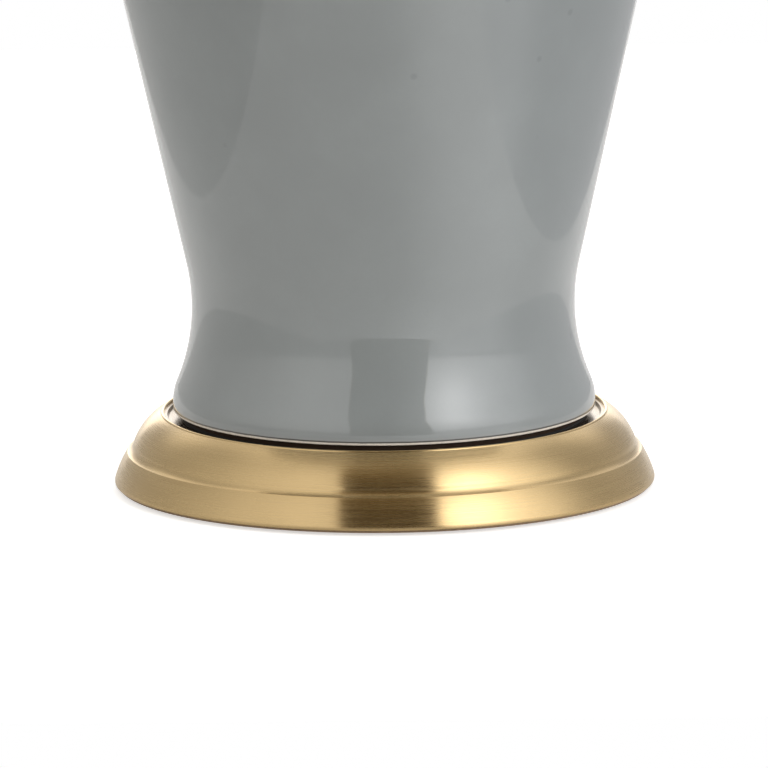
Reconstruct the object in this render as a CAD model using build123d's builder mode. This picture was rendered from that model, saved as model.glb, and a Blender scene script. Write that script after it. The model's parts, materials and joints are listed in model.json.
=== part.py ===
from build123d import *
import os
from math import atan2, cos, radians, sin, sqrt

# Urn table lamp: a glazed ceramic urn on a spun brass base, with a turn-switch socket, an LED bulb,
# a harp and a round linen shade. Millimetres; the origin is the centre of the felt's underside,
# +Z up, the switch knob towards -Y and the cord inlet towards +Y.

os.makedirs("parts", exist_ok=True)

# Clearances
SEAT_GAP = 0.05
SLIDE_GAP = 0.15
PIPE_GAP = 0.2

# Base: felt, cover, spun shell and weight
FELT_THICKNESS = 1.0
FELT_INSET = 7.25
BASE_RADIUS = 95.25
SHELL_WALL = 1.0
LOWER_SWELL_DEPTH = 5.35
LOWER_SWELL_HEIGHT = 11.1
LOWER_SWELL_CURVE = 38.0
STEP_LEDGE = 0.95
STEP_RISE = 0.45
UPPER_SWELL_DEPTH = 9.95
UPPER_SWELL_HEIGHT = 12.8
UPPER_SWELL_CURVE = 21.0
RIM_WIDTH = 1.5
RIM_ROUNDING = 0.7
RECESS_DEPTH = 2.4
RECESS_SLOPE = 1.2
COVER_THICKNESS = 2.0
WEIGHT_INSET = 6.3
WEIGHT_THICKNESS = 11.0
WEIGHT_EDGE = 1.5

# Cord inlet bushing, square to the wall of the lower swell
INLET_BORE_RADIUS = 3.1
INLET_WALL = 1.1
INLET_FLANGE_WIDTH = 1.3
INLET_FLANGE_THICKNESS = 1.4
INLET_FLANGE_TAPER = 20.0
INLET_BARREL_LENGTH = 3.2

# Lamp pipe and the nut under the weight
PIPE_RADIUS = 5.0
PIPE_BORE_RADIUS = 3.4
PIPE_END_BELOW_NUT = 0.6
PIPE_END_IN_CAP = 8.5
FENDER_WASHER_WIDTH = 11.0
FENDER_WASHER_THICKNESS = 1.6
LOCK_WASHER_WIDTH = 3.4
LOCK_WASHER_THICKNESS = 1.2
LOCK_WASHER_SPLIT = 1.4
NUT_WALL = 2.0
NUT_HEIGHT = 4.0

# Urn: foot ring, swelling foot, waist, flare, belly, shoulder and neck
GASKET_THICKNESS = 1.0
URN_WALL = 5.0
FOOT_GAP = 3.0
FOOT_RING_INSET = 3.2
FOOT_RING_WIDTH = 11.3
FOOT_RING_HEIGHT = 2.3
FOOT_EDGE_HEIGHT = 2.4
FOOT_EDGE_ROUNDING = 1.0
FOOT_CURVE = 19.0
FOOT_TURN = 22.7
WAIST_CURVE = 70.0
FLARE_ANGLE = 12.7
FLARE_LENGTH = 133.0
BELLY_CURVE = 260.0
SHOULDER_CURVE = 78.0
SHOULDER_TURN = 80.0
NECK_CURVE = 6.0
NECK_HEIGHT = 10.0
URN_FLOOR_THICKNESS = 7.0
URN_FLOOR_GAP = 3.0

# Cap, neck and ring above the urn
CAP_GASKET_THICKNESS = 1.0
CAP_GASKET_INSET = 0.5
CAP_WALL = 1.0
CAP_EDGE_ROUNDING = 0.8
CAP_SKIRT_LENGTH = 10.0
CAP_SKIRT_GAP = 0.4
CAP_BEAD = 2.4
CAP_FLAT = 7.0
CAP_DOME_HEIGHT = 9.0
CAP_TOP_MARGIN = 0.5
NECK_LENGTH = 22.0
NECK_FOOT_WIDTH = 8.0
NECK_FOOT_HEIGHT = 2.2
NECK_WAIST_WIDTH = 2.6
NECK_BEAD_SWELL = 2.8
NECK_BEAD_HEIGHT = 6.0
NECK_COVE_CURVE = 8.0
NECK_TOP_WIDTH = 6.5
NECK_TOP_HEIGHT = 2.0
CHECK_RING_WIDTH = 10.0
CHECK_RING_HEIGHT = 2.5
CHECK_RING_NOTCHES = 40
CHECK_RING_NOTCH = 0.45

# Harp, its saddle and the two sliding ferrules
SADDLE_SHEET = 1.6
SADDLE_PAD_WIDTH = 5.0
SADDLE_ARM_WIDTH = 8.0
SADDLE_BEND = 7.0
SADDLE_SHOULDER_HEIGHT = 11.0
SADDLE_TAB_HEIGHT = 26.0
FERRULE_SPACING = 60.0
FERRULE_LENGTH = 16.0
FERRULE_WALL = 0.9
FERRULE_BEAD = 0.4
HARP_WIRE_RADIUS = 1.6
HARP_HEIGHT = 241.0
HARP_WIDTH = 115.0
HARP_LEG_HEIGHT = 58.0
HARP_FULL_WIDTH_FROM = 104.0
HARP_FULL_WIDTH_TO = 196.0
HARP_TOP_WIDTH = 54.0
HARP_KNEE_CURVE = 45.0
HARP_SIDE_CURVE = 60.0
HARP_HIP_CURVE = 80.0
HARP_CROWN_CURVE = 38.0
STUD_HUB_RADIUS = 5.5
STUD_HUB_HEIGHT = 6.0
STUD_RADIUS = 3.1
STUD_LENGTH = 17.0
STUD_CHAMFER = 0.6

# Socket
SOCKET_HUB_WALL = 2.5
SOCKET_HUB_HEIGHT = 7.0
SOCKET_SHEET = 0.7
SOCKET_CAP_RADIUS = 20.0
SOCKET_DOME_HEIGHT = 8.0
SOCKET_CAP_HEIGHT = 24.0
SOCKET_SHELL_GAP = 0.3
SCREW_SHELL_HEIGHT = 22.0
SOCKET_LIP = 0.8
SOCKET_LIP_HEIGHT = 2.4
SLEEVE_WALL = 0.7
SLEEVE_GAP = 0.1
SLEEVE_SHORTFALL = 1.0
BODY_GAP = 0.5
BODY_ABOVE_SHELL_END = 1.0
BODY_ABOVE_SWITCH = 8.0
TERMINAL_SEAT_DEPTH = 2.6
SCREW_SHELL_GAP = 0.25
SCREW_SHELL_WALL = 0.5
CONTACT_SHEET = 0.6
CONTACT_WIDTH = 5.0
CONTACT_FOOT_LENGTH = 8.0
CONTACT_RISE = 4.2
SET_SCREW_RADIUS = 1.5
SET_SCREW_HEAD_RADIUS = 2.6
SET_SCREW_HEAD_HEIGHT = 1.8
SCREW_SLOT_WIDTH = 0.7
SCREW_SLOT_DEPTH = 0.7
TERMINAL_SCREW_RADIUS = 1.6
TERMINAL_SCREW_LENGTH = 6.0
TERMINAL_HEAD_RADIUS = 3.0
TERMINAL_HEAD_HEIGHT = 1.9

# Turn switch
SWITCH_ABOVE_CAP = 5.0
SWITCH_SHAFT_RADIUS = 2.0
SWITCH_SHAFT_DEPTH = 8.0
SWITCH_HOLE_GAP = 1.0
KNOB_WALL = 3.5
KNOB_LENGTH = 12.0
KNOB_STANDOFF = 1.8
KNOB_FLUTES = 14
KNOB_FLUTE_RADIUS = 0.7
KNOB_END_WALL = 4.0
KNOB_ROUNDING = 0.8

# LED bulb
BULB_LENGTH = 108.0
BULB_CONTACT_RADIUS = 4.6
BULB_CONTACT_HEIGHT = 1.3
BULB_CONTACT_GAP = 0.3
INSULATOR_HEIGHT = 3.7
INSULATOR_TIP_WIDTH = 0.8
BULB_BASE_RADIUS = 13.05
BULB_BASE_HEIGHT = 17.0
BULB_BASE_WALL = 0.4
BULB_DOME_RADIUS = 30.0
BULB_DOME_WALL = 1.2
BULB_DOME_TUCK = 10.0
HOUSING_COLLAR_LENGTH = 6.0
HOUSING_COLLAR_GAP = 0.15
HOUSING_WALL = 1.6
HOUSING_NECK_STEP = 1.5
HOUSING_NECK_LEAN = 0.15
HOUSING_LEDGE_LEAN = 0.4
LED_BOARD_THICKNESS = 1.6
LED_BOARD_LEDGE = 2.6
LED_BOARD_HOLE_RADIUS = 3.0
LED_COUNT = 12
LED_RING_INSET = 10.8
LED_SIZE = 3.0
LED_HEIGHT = 0.8
DRIVER_WIDTH = 16.0
DRIVER_LENGTH = 32.0
DRIVER_THICKNESS = 1.6
DRIVER_PART_HEIGHT = 4.5
DRIVER_PART_LENGTH = 9.0
DRIVER_PART_SPACING = 12.0

# Shade
SHADE_TOP_RADIUS = 178.0
SHADE_BOTTOM_RADIUS = 203.0
SHADE_HEIGHT = 267.0
SHADE_DROP = 13.0
LINER_THICKNESS = 0.6
FABRIC_THICKNESS = 0.7
TRIM_THICKNESS = 0.5
TRIM_HEIGHT = 9.0
SHADE_WIRE_RADIUS = 1.6
SPIDER_ARMS = 3
SPIDER_HUB_WIDTH = 10.6
SPIDER_HUB_THICKNESS = 1.6
SPIDER_HUB_BORE_GAP = 0.3
SPIDER_BEND_RADIUS = 12.0
SPIDER_RISE_RUN = 26.0

# Finial
FINIAL_STEM_WALL = 2.1
FINIAL_FOOT_WIDTH = 2.8
FINIAL_FOOT_HEIGHT = 2.0
FINIAL_FOOT_SLOPE = 0.4
FINIAL_TAP_SPARE = 5.2
FINIAL_COLLAR_WIDTH = 1.6
FINIAL_COLLAR_HEIGHT = 2.2
FINIAL_COLLAR_LEAN = 0.9
FINIAL_BALL_RADIUS = 11.0
FINIAL_TIP_RADIUS = 3.0
FINIAL_TIP_HEIGHT = 3.4

# Places along the lamp's axis, from the table up
cover_bottom = FELT_THICKNESS
swell_bottom = FELT_THICKNESS + COVER_THICKNESS + SEAT_GAP
step_height = swell_bottom + LOWER_SWELL_HEIGHT
rim_height = step_height + STEP_RISE + UPPER_SWELL_HEIGHT
recess_floor = rim_height - RECESS_DEPTH
weight_top = recess_floor - SHELL_WALL
weight_bottom = weight_top - WEIGHT_THICKNESS
washer_bottom = weight_bottom - FENDER_WASHER_THICKNESS
lock_washer_bottom = washer_bottom - LOCK_WASHER_THICKNESS
nut_bottom = lock_washer_bottom - NUT_HEIGHT
foot_bottom = recess_floor + GASKET_THICKNESS
foot_edge = foot_bottom + FOOT_RING_HEIGHT
foot_widest = foot_edge + FOOT_EDGE_HEIGHT

# Radii that several pieces share
step_radius = BASE_RADIUS - LOWER_SWELL_DEPTH
crest_radius = step_radius - STEP_LEDGE - UPPER_SWELL_DEPTH
rim_inner_radius = crest_radius - RIM_WIDTH
recess_radius = rim_inner_radius - RECESS_SLOPE
foot_radius = rim_inner_radius - FOOT_GAP
foot_ring_outer = foot_radius - FOOT_RING_INSET
foot_ring_inner = foot_ring_outer - FOOT_RING_WIDTH
hole_radius = PIPE_RADIUS + PIPE_GAP


def flat_ring(outer_radius, bore_radius, bottom, height):
    """A plain flat ring round the lamp's axis."""
    with BuildPart() as ring:
        with BuildSketch(Plane.XY.offset(bottom)):
            Circle(outer_radius)
            Circle(bore_radius, mode=Mode.SUBTRACT)
        extrude(amount=height)
    return ring


def spun_sheet(outline, wall):
    """Sheet turned round the lamp's axis: the outline, with the wall on its left-hand side."""
    with BuildPart() as sheet:
        with BuildSketch(Plane.XZ):
            with BuildLine():
                add(outline)
                offset(amount=wall, side=Side.LEFT)
            make_face()
        revolve(axis=Axis.Z)
    return sheet


# Felt pad and fibreboard cover that close the base
with BuildPart() as felt_pad:
    with BuildSketch():
        Circle(BASE_RADIUS - FELT_INSET)
    extrude(amount=FELT_THICKNESS)
felt_pad.part.label = "felt_pad"
export_step(felt_pad.part, "parts/felt_pad.step")

with BuildPart() as bottom_cover:
    with BuildSketch(Plane.XY.offset(cover_bottom)):
        Circle(BASE_RADIUS - SHELL_WALL - SLIDE_GAP)
    extrude(amount=COVER_THICKNESS)
bottom_cover.part.label = "bottom_cover"
export_step(bottom_cover.part, "parts/bottom_cover.step")

# Base shell: hem, two swells with a crease between them, a rim and the recess for the urn's foot
with BuildLine() as base_outline:
    hem = Line((BASE_RADIUS, FELT_THICKNESS), (BASE_RADIUS, swell_bottom))
    lower_swell = RadiusArc(hem @ 1, (step_radius, step_height), -LOWER_SWELL_CURVE)
    ledge = Line(lower_swell @ 1, (step_radius - STEP_LEDGE, step_height + STEP_RISE))
    upper_swell = RadiusArc(ledge @ 1, (crest_radius, rim_height), -UPPER_SWELL_CURVE)
    rim = Line(upper_swell @ 1, (rim_inner_radius, rim_height))
    recess_wall = Line(rim @ 1, (recess_radius, recess_floor))
    Line(recess_wall @ 1, (hole_radius, recess_floor))

inlet_place = lower_swell @ 0.5
inlet_direction = lower_swell % 0.5
inlet_plane = Plane(
    origin=(0, inlet_place.X, inlet_place.Y),
    x_dir=(1, 0, 0),
    z_dir=(0, inlet_direction.Y, -inlet_direction.X),
)
inlet_barrel_radius = INLET_BORE_RADIUS + INLET_WALL

base_sheet = spun_sheet(base_outline.line, SHELL_WALL)
with BuildPart() as base_shell:
    add(base_sheet.part)
    rim_edges = base_shell.edges().filter_by(GeomType.CIRCLE).group_by(Axis.Z)[-1]
    fillet(rim_edges, radius=RIM_ROUNDING)
    with BuildSketch(inlet_plane):
        Circle(inlet_barrel_radius + SEAT_GAP)
    extrude(amount=INLET_BARREL_LENGTH, both=True, mode=Mode.SUBTRACT)
base_shell.part.label = "base_shell"
export_step(base_shell.part, "parts/base_shell.step")

# Cord inlet bushing: a flange outside the wall and a barrel through it
with BuildPart() as cord_bushing:
    with BuildSketch(inlet_plane.offset(SEAT_GAP)):
        Circle(inlet_barrel_radius + INLET_FLANGE_WIDTH)
    extrude(amount=INLET_FLANGE_THICKNESS, taper=INLET_FLANGE_TAPER)
    with BuildSketch(inlet_plane.offset(SEAT_GAP)):
        Circle(inlet_barrel_radius)
    extrude(amount=-INLET_BARREL_LENGTH)
    with BuildSketch(inlet_plane):
        Circle(INLET_BORE_RADIUS)
    extrude(amount=2 * INLET_BARREL_LENGTH, both=True, mode=Mode.SUBTRACT)
cord_bushing.part.label = "cord_bushing"
export_step(cord_bushing.part, "parts/cord_bushing.step")

# Cast weight under the recess floor, and the washers and nut that clamp it
weight_radius = recess_radius - WEIGHT_INSET
with BuildPart() as base_weight:
    add(flat_ring(weight_radius, hole_radius, weight_bottom, WEIGHT_THICKNESS).part)
    outer_edges = base_weight.edges().filter_by(GeomType.CIRCLE).group_by(SortBy.RADIUS)[-1]
    chamfer(outer_edges, length=WEIGHT_EDGE)
base_weight.part.label = "base_weight"
export_step(base_weight.part, "parts/base_weight.step")

bottom_washer = flat_ring(
    PIPE_RADIUS + FENDER_WASHER_WIDTH, hole_radius, washer_bottom, FENDER_WASHER_THICKNESS
)
bottom_washer.part.label = "bottom_washer"
export_step(bottom_washer.part, "parts/bottom_washer.step")

lock_washer_radius = PIPE_RADIUS + LOCK_WASHER_WIDTH
with BuildPart() as lock_washer:
    add(flat_ring(lock_washer_radius, hole_radius, lock_washer_bottom, LOCK_WASHER_THICKNESS).part)
    with BuildSketch(Plane.XY.offset(lock_washer_bottom)):
        Rectangle(lock_washer_radius, LOCK_WASHER_SPLIT, align=(Align.MIN, Align.CENTER))
    extrude(amount=LOCK_WASHER_THICKNESS, mode=Mode.SUBTRACT)
lock_washer.part.label = "lock_washer"
export_step(lock_washer.part, "parts/lock_washer.step")

with BuildPart() as pipe_nut:
    with BuildSketch(Plane.XY.offset(nut_bottom)):
        RegularPolygon(PIPE_RADIUS + NUT_WALL, 6, major_radius=False)
        Circle(PIPE_RADIUS + SEAT_GAP, mode=Mode.SUBTRACT)
    extrude(amount=NUT_HEIGHT)
pipe_nut.part.label = "pipe_nut"
export_step(pipe_nut.part, "parts/pipe_nut.step")

# Urn: one thrown wall from the foot to the neck, a floor with a hole for the pipe, and a foot ring
foot_gasket = flat_ring(foot_ring_outer, foot_ring_inner, recess_floor, GASKET_THICKNESS)
foot_gasket.part.label = "foot_gasket"
export_step(foot_gasket.part, "parts/foot_gasket.step")

with BuildLine() as urn_outline:
    foot_side = Line((foot_radius, foot_edge), (foot_radius, foot_widest))
    foot_swell = JernArc(foot_side @ 1, foot_side % 1, FOOT_CURVE, FOOT_TURN)
    waist = JernArc(foot_swell @ 1, foot_swell % 1, WAIST_CURVE, -(FOOT_TURN + FLARE_ANGLE))
    flare = PolarLine(waist @ 1, FLARE_LENGTH, direction=waist % 1)
    belly = JernArc(flare @ 1, flare % 1, BELLY_CURVE, FLARE_ANGLE)
    shoulder = JernArc(belly @ 1, belly % 1, SHOULDER_CURVE, SHOULDER_TURN)
    neck_root = JernArc(shoulder @ 1, shoulder % 1, NECK_CURVE, -SHOULDER_TURN)
    PolarLine(neck_root @ 1, NECK_HEIGHT, direction=neck_root % 1)

neck_radius = (neck_root @ 1).X
urn_top = (neck_root @ 1).Y + NECK_HEIGHT
foot_wall_inside = foot_radius - URN_WALL

with BuildPart() as urn_body:
    add(spun_sheet(urn_outline.line, URN_WALL).part)
    with BuildSketch(Plane.XY.offset(foot_edge)):
        Circle(foot_wall_inside + SEAT_GAP)
        Circle(PIPE_RADIUS + URN_FLOOR_GAP, mode=Mode.SUBTRACT)
    extrude(amount=URN_FLOOR_THICKNESS - FOOT_RING_HEIGHT)
    with BuildSketch(Plane.XY.offset(foot_bottom)):
        Circle(foot_ring_outer)
        Circle(foot_ring_inner, mode=Mode.SUBTRACT)
    extrude(amount=FOOT_RING_HEIGHT + SEAT_GAP)
    foot_edges = urn_body.edges().filter_by(GeomType.CIRCLE).filter_by(
        lambda edge: abs(edge.radius - foot_radius) < SEAT_GAP
    )
    fillet(foot_edges.group_by(Axis.Z)[0], radius=FOOT_EDGE_ROUNDING)
urn_body.part.label = "urn_body"
export_step(urn_body.part, "parts/urn_body.step")

# Vase cap: soft ring on the neck's end, skirt over the neck, flat shoulder and a small dome
gasket_top = urn_top + CAP_GASKET_THICKNESS
cap_shoulder = gasket_top + CAP_WALL
cap_skirt_radius = neck_radius + CAP_SKIRT_GAP + CAP_WALL
cap_dome_foot = cap_skirt_radius - CAP_FLAT
cap_top = cap_shoulder + CAP_DOME_HEIGHT
neck_foot_radius = PIPE_RADIUS + NECK_FOOT_WIDTH
cap_top_radius = neck_foot_radius + CAP_TOP_MARGIN
cap_dome_run = cap_dome_foot - cap_top_radius
cap_dome_curve = (cap_dome_run**2 + CAP_DOME_HEIGHT**2) / (2 * CAP_DOME_HEIGHT)

neck_bore_radius = neck_radius - URN_WALL
cap_gasket = flat_ring(
    neck_radius, neck_bore_radius + CAP_GASKET_INSET, urn_top, CAP_GASKET_THICKNESS
)
cap_gasket.part.label = "cap_gasket"
export_step(cap_gasket.part, "parts/cap_gasket.step")

with BuildLine() as cap_outline:
    skirt_lip = cap_shoulder - CAP_SKIRT_LENGTH
    bead = Line((cap_skirt_radius + CAP_BEAD, skirt_lip), (cap_skirt_radius, skirt_lip + CAP_BEAD))
    skirt = Line(bead @ 1, (cap_skirt_radius, cap_shoulder))
    flat = Line(skirt @ 1, (cap_dome_foot, cap_shoulder))
    dome = RadiusArc(flat @ 1, (cap_top_radius, cap_top), cap_dome_curve)
    Line(dome @ 1, (hole_radius, cap_top))

with BuildPart() as vase_cap:
    add(spun_sheet(cap_outline.line, CAP_WALL).part)
    shoulder_edges = vase_cap.edges().filter_by(GeomType.CIRCLE).filter_by(
        lambda edge: abs(edge.radius - cap_skirt_radius) < SEAT_GAP
    )
    fillet(shoulder_edges.group_by(Axis.Z)[-1], radius=CAP_EDGE_ROUNDING)
vase_cap.part.label = "vase_cap"
export_step(vase_cap.part, "parts/vase_cap.step")

# Turned brass neck round the pipe: foot disc, cove, bead, cove and top disc
neck_top = cap_top + NECK_LENGTH
neck_waist_radius = PIPE_RADIUS + NECK_WAIST_WIDTH
neck_top_radius = PIPE_RADIUS + NECK_TOP_WIDTH
bead_bottom = cap_top + (NECK_LENGTH - NECK_BEAD_HEIGHT) / 2
with BuildPart() as brass_neck:
    with BuildSketch(Plane.XZ):
        with BuildLine():
            foot_disc = Polyline(
                (hole_radius, cap_top),
                (neck_foot_radius, cap_top),
                (neck_foot_radius, cap_top + NECK_FOOT_HEIGHT),
            )
            lower_cove = RadiusArc(foot_disc @ 1, (neck_waist_radius, bead_bottom), NECK_COVE_CURVE)
            neck_bead = ThreePointArc(
                lower_cove @ 1,
                (neck_waist_radius + NECK_BEAD_SWELL, bead_bottom + NECK_BEAD_HEIGHT / 2),
                (neck_waist_radius, bead_bottom + NECK_BEAD_HEIGHT),
            )
            upper_cove = RadiusArc(
                neck_bead @ 1, (neck_top_radius, neck_top - NECK_TOP_HEIGHT), NECK_COVE_CURVE
            )
            Polyline(
                upper_cove @ 1,
                (neck_top_radius, neck_top),
                (hole_radius, neck_top),
                (hole_radius, cap_top),
            )
        make_face()
    revolve(axis=Axis.Z)
brass_neck.part.label = "brass_neck"
export_step(brass_neck.part, "parts/brass_neck.step")

# Check ring with a knurled edge
check_ring_radius = PIPE_RADIUS + CHECK_RING_WIDTH
with BuildPart() as check_ring:
    add(flat_ring(check_ring_radius, hole_radius, neck_top, CHECK_RING_HEIGHT).part)
    with BuildSketch(Plane.XY.offset(neck_top)):
        with PolarLocations(check_ring_radius, CHECK_RING_NOTCHES):
            Circle(CHECK_RING_NOTCH)
    extrude(amount=CHECK_RING_HEIGHT, mode=Mode.SUBTRACT)
check_ring.part.label = "check_ring"
export_step(check_ring.part, "parts/check_ring.step")

# Harp saddle: a round pad on the pipe, two arms bent up, and a narrow tab on each arm
saddle_bottom = neck_top + CHECK_RING_HEIGHT
socket_bottom = saddle_bottom + SADDLE_SHEET
ferrule_axis = FERRULE_SPACING / 2
wire_axis = ferrule_axis + HARP_WIRE_RADIUS - SLIDE_GAP
tab_outer = ferrule_axis - 2 * SLIDE_GAP
ferrule_bore_radius = 2 * HARP_WIRE_RADIUS + SLIDE_GAP
tab_reach = SADDLE_SHEET + 2 * SLIDE_GAP
tab_half_width = sqrt((ferrule_bore_radius - 2 * SLIDE_GAP) ** 2 - tab_reach**2)
saddle_pad_radius = PIPE_RADIUS + SADDLE_PAD_WIDTH
ferrule_bottom = saddle_bottom + SADDLE_SHOULDER_HEIGHT + SEAT_GAP

with BuildPart() as saddle_strip:
    with BuildSketch(Plane.XZ):
        with BuildLine():
            strip = FilletPolyline(
                (-tab_outer, saddle_bottom + SADDLE_TAB_HEIGHT),
                (-tab_outer, saddle_bottom),
                (tab_outer, saddle_bottom),
                (tab_outer, saddle_bottom + SADDLE_TAB_HEIGHT),
                radius=SADDLE_BEND,
            )
            offset(amount=SADDLE_SHEET, side=Side.LEFT)
        make_face()
    extrude(amount=saddle_pad_radius, both=True)

with BuildPart() as saddle_blank:
    with BuildSketch(Plane.XY.offset(saddle_bottom)):
        Rectangle(FERRULE_SPACING, SADDLE_ARM_WIDTH)
        Circle(saddle_pad_radius)
        Circle(hole_radius, mode=Mode.SUBTRACT)
    extrude(amount=SADDLE_SHOULDER_HEIGHT)
    with BuildSketch(Plane.XY.offset(saddle_bottom)):
        Rectangle(FERRULE_SPACING, 2 * tab_half_width)
        Circle(saddle_pad_radius, mode=Mode.SUBTRACT)
    extrude(amount=SADDLE_TAB_HEIGHT)

with BuildPart() as harp_saddle:
    add(saddle_strip.part)
    add(saddle_blank.part, mode=Mode.INTERSECT)
harp_saddle.part.label = "harp_saddle"
export_step(harp_saddle.part, "parts/harp_saddle.step")

# Harp wire: up from one tab, out round the bulb, over the top and down to the other tab
harp_foot = saddle_bottom + SADDLE_SHOULDER_HEIGHT + 2 * SEAT_GAP
harp_top = saddle_bottom + HARP_HEIGHT
harp_corners = [
    (wire_axis, harp_foot),
    (wire_axis, saddle_bottom + HARP_LEG_HEIGHT),
    (HARP_WIDTH / 2, saddle_bottom + HARP_FULL_WIDTH_FROM),
    (HARP_WIDTH / 2, saddle_bottom + HARP_FULL_WIDTH_TO),
    (HARP_TOP_WIDTH / 2, harp_top),
]
harp_mirrored = [(-x, z) for x, z in reversed(harp_corners)]
side_curves = [HARP_KNEE_CURVE, HARP_SIDE_CURVE, HARP_HIP_CURVE, HARP_CROWN_CURVE]

with BuildPart() as harp_wire:
    with BuildLine(Plane.XZ):
        FilletPolyline(
            *harp_corners, *harp_mirrored, radius=side_curves + list(reversed(side_curves))
        )
    with BuildSketch(Plane.XY.offset(harp_foot)):
        with Locations((wire_axis, 0)):
            Circle(HARP_WIRE_RADIUS)
    sweep()
harp_wire.part.label = "harp_wire"
export_step(harp_wire.part, "parts/harp_wire.step")

# Harp stud: a hub clamped on the top of the wire, with the threaded stud that takes the finial
hub_top = harp_top + STUD_HUB_HEIGHT / 2
with BuildPart() as harp_stud:
    with BuildSketch(Plane.XY.offset(hub_top - STUD_HUB_HEIGHT)):
        Circle(STUD_HUB_RADIUS)
    extrude(amount=STUD_HUB_HEIGHT)
    with BuildSketch(Plane.XY.offset(hub_top)):
        Circle(STUD_RADIUS)
    extrude(amount=STUD_LENGTH)
    chamfer(harp_stud.faces().sort_by(Axis.Z)[-1].edges(), length=STUD_CHAMFER)
    with BuildSketch(Plane.YZ):
        with Locations((0, harp_top)):
            Circle(HARP_WIRE_RADIUS + SEAT_GAP)
    extrude(amount=2 * STUD_HUB_RADIUS, both=True, mode=Mode.SUBTRACT)
harp_stud.part.label = "harp_stud"
export_step(harp_stud.part, "parts/harp_stud.step")

# Ferrules: sleeves over the joint of tab and wire, free to slide up the straight leg of the harp
for side_name, side in (("left", -1), ("right", 1)):
    with BuildPart() as ferrule:
        with BuildSketch(Plane.XY.offset(ferrule_bottom)):
            with Locations((side * ferrule_axis, 0)):
                Circle(ferrule_bore_radius + FERRULE_WALL)
        extrude(amount=FERRULE_LENGTH)
        end_edges = ferrule.edges().filter_by(GeomType.CIRCLE)
        fillet(end_edges, radius=FERRULE_BEAD)
        with BuildSketch(Plane.XY.offset(ferrule_bottom)):
            with Locations((side * ferrule_axis, 0)):
                Circle(ferrule_bore_radius)
        extrude(amount=FERRULE_LENGTH, mode=Mode.SUBTRACT)
    ferrule.part.label = f"ferrule_{side_name}"
    export_step(ferrule.part, f"parts/ferrule_{side_name}.step")

# Socket cap: threaded hub on the pipe, dome and a straight rim that takes the shell
cap_rim = socket_bottom + SOCKET_CAP_HEIGHT
hub_radius = PIPE_RADIUS + SOCKET_HUB_WALL
hub_height = socket_bottom + SOCKET_HUB_HEIGHT
dome_end = hub_height + SOCKET_DOME_HEIGHT
dome_run = SOCKET_CAP_RADIUS - hub_radius
dome_curve = (dome_run**2 + SOCKET_DOME_HEIGHT**2) / (2 * SOCKET_DOME_HEIGHT)
set_screw_height = socket_bottom + SOCKET_HUB_HEIGHT / 2
screw_hole_radius = SET_SCREW_RADIUS + SEAT_GAP
with BuildLine() as socket_cap_outline:
    hub_shoulder = Line((PIPE_RADIUS + SEAT_GAP, hub_height), (hub_radius, hub_height))
    cap_dome = RadiusArc(hub_shoulder @ 1, (SOCKET_CAP_RADIUS, dome_end), -dome_curve)
    Line(cap_dome @ 1, (SOCKET_CAP_RADIUS, cap_rim))

with BuildPart() as socket_cap:
    add(spun_sheet(socket_cap_outline.line, SOCKET_SHEET).part)
    with BuildSketch(Plane.XY.offset(socket_bottom)):
        Circle(hub_radius)
    extrude(amount=SOCKET_HUB_HEIGHT + SOCKET_SHEET)
    with BuildSketch(Plane.XY.offset(socket_bottom)):
        Circle(PIPE_RADIUS + SEAT_GAP)
    extrude(amount=SOCKET_CAP_HEIGHT, mode=Mode.SUBTRACT)
    with BuildSketch(Plane.XZ):
        with Locations((0, set_screw_height)):
            Circle(screw_hole_radius)
    extrude(amount=-2 * hub_radius, mode=Mode.SUBTRACT)
socket_cap.part.label = "socket_cap"
export_step(socket_cap.part, "parts/socket_cap.step")

# Set screw in the hub, towards the rear, with a slotted head
with BuildPart() as set_screw:
    with BuildSketch(Plane.XZ.offset(-(PIPE_RADIUS + SEAT_GAP))):
        with Locations((0, set_screw_height)):
            Circle(SET_SCREW_RADIUS)
    extrude(amount=-(hub_radius - PIPE_RADIUS))
    with BuildSketch(Plane.XZ.offset(-(hub_radius + SEAT_GAP))):
        with Locations((0, set_screw_height)):
            Circle(SET_SCREW_HEAD_RADIUS)
    extrude(amount=-SET_SCREW_HEAD_HEIGHT)
    head_face = set_screw.faces().sort_by(Axis.Y)[-1]
    with BuildSketch(head_face):
        Rectangle(SCREW_SLOT_WIDTH, 3 * SET_SCREW_HEAD_RADIUS)
    extrude(amount=-SCREW_SLOT_DEPTH, mode=Mode.SUBTRACT)
set_screw.part.label = "set_screw"
export_step(set_screw.part, "parts/set_screw.step")

# Socket shell and the cardboard sleeve inside it, both pierced for the switch shaft
shell_bottom = dome_end + SOCKET_SHELL_GAP
switch_axis_height = cap_rim + SWITCH_ABOVE_CAP
switch_hole_radius = SWITCH_SHAFT_RADIUS + SWITCH_HOLE_GAP
body_bottom = shell_bottom + BODY_ABOVE_SHELL_END
body_top = switch_axis_height + BODY_ABOVE_SWITCH
shell_top = body_top + SCREW_SHELL_HEIGHT + SLEEVE_SHORTFALL
shell_radius = SOCKET_CAP_RADIUS - SOCKET_SHEET - SOCKET_SHELL_GAP
shell_inside = shell_radius - SOCKET_SHEET
sleeve_outside = shell_inside - SLEEVE_GAP
sleeve_inside = sleeve_outside - SLEEVE_WALL

with BuildLine() as socket_shell_outline:
    shell_side = Line((shell_radius, shell_bottom), (shell_radius, shell_top - SOCKET_LIP_HEIGHT))
    Line(shell_side @ 1, (shell_radius + SOCKET_LIP, shell_top))

with BuildPart() as socket_shell:
    add(spun_sheet(socket_shell_outline.line, SOCKET_SHEET).part)
    with BuildSketch(Plane.XZ):
        with Locations((0, switch_axis_height)):
            Circle(switch_hole_radius)
    extrude(amount=2 * shell_radius, mode=Mode.SUBTRACT)
socket_shell.part.label = "socket_shell"
export_step(socket_shell.part, "parts/socket_shell.step")

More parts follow.
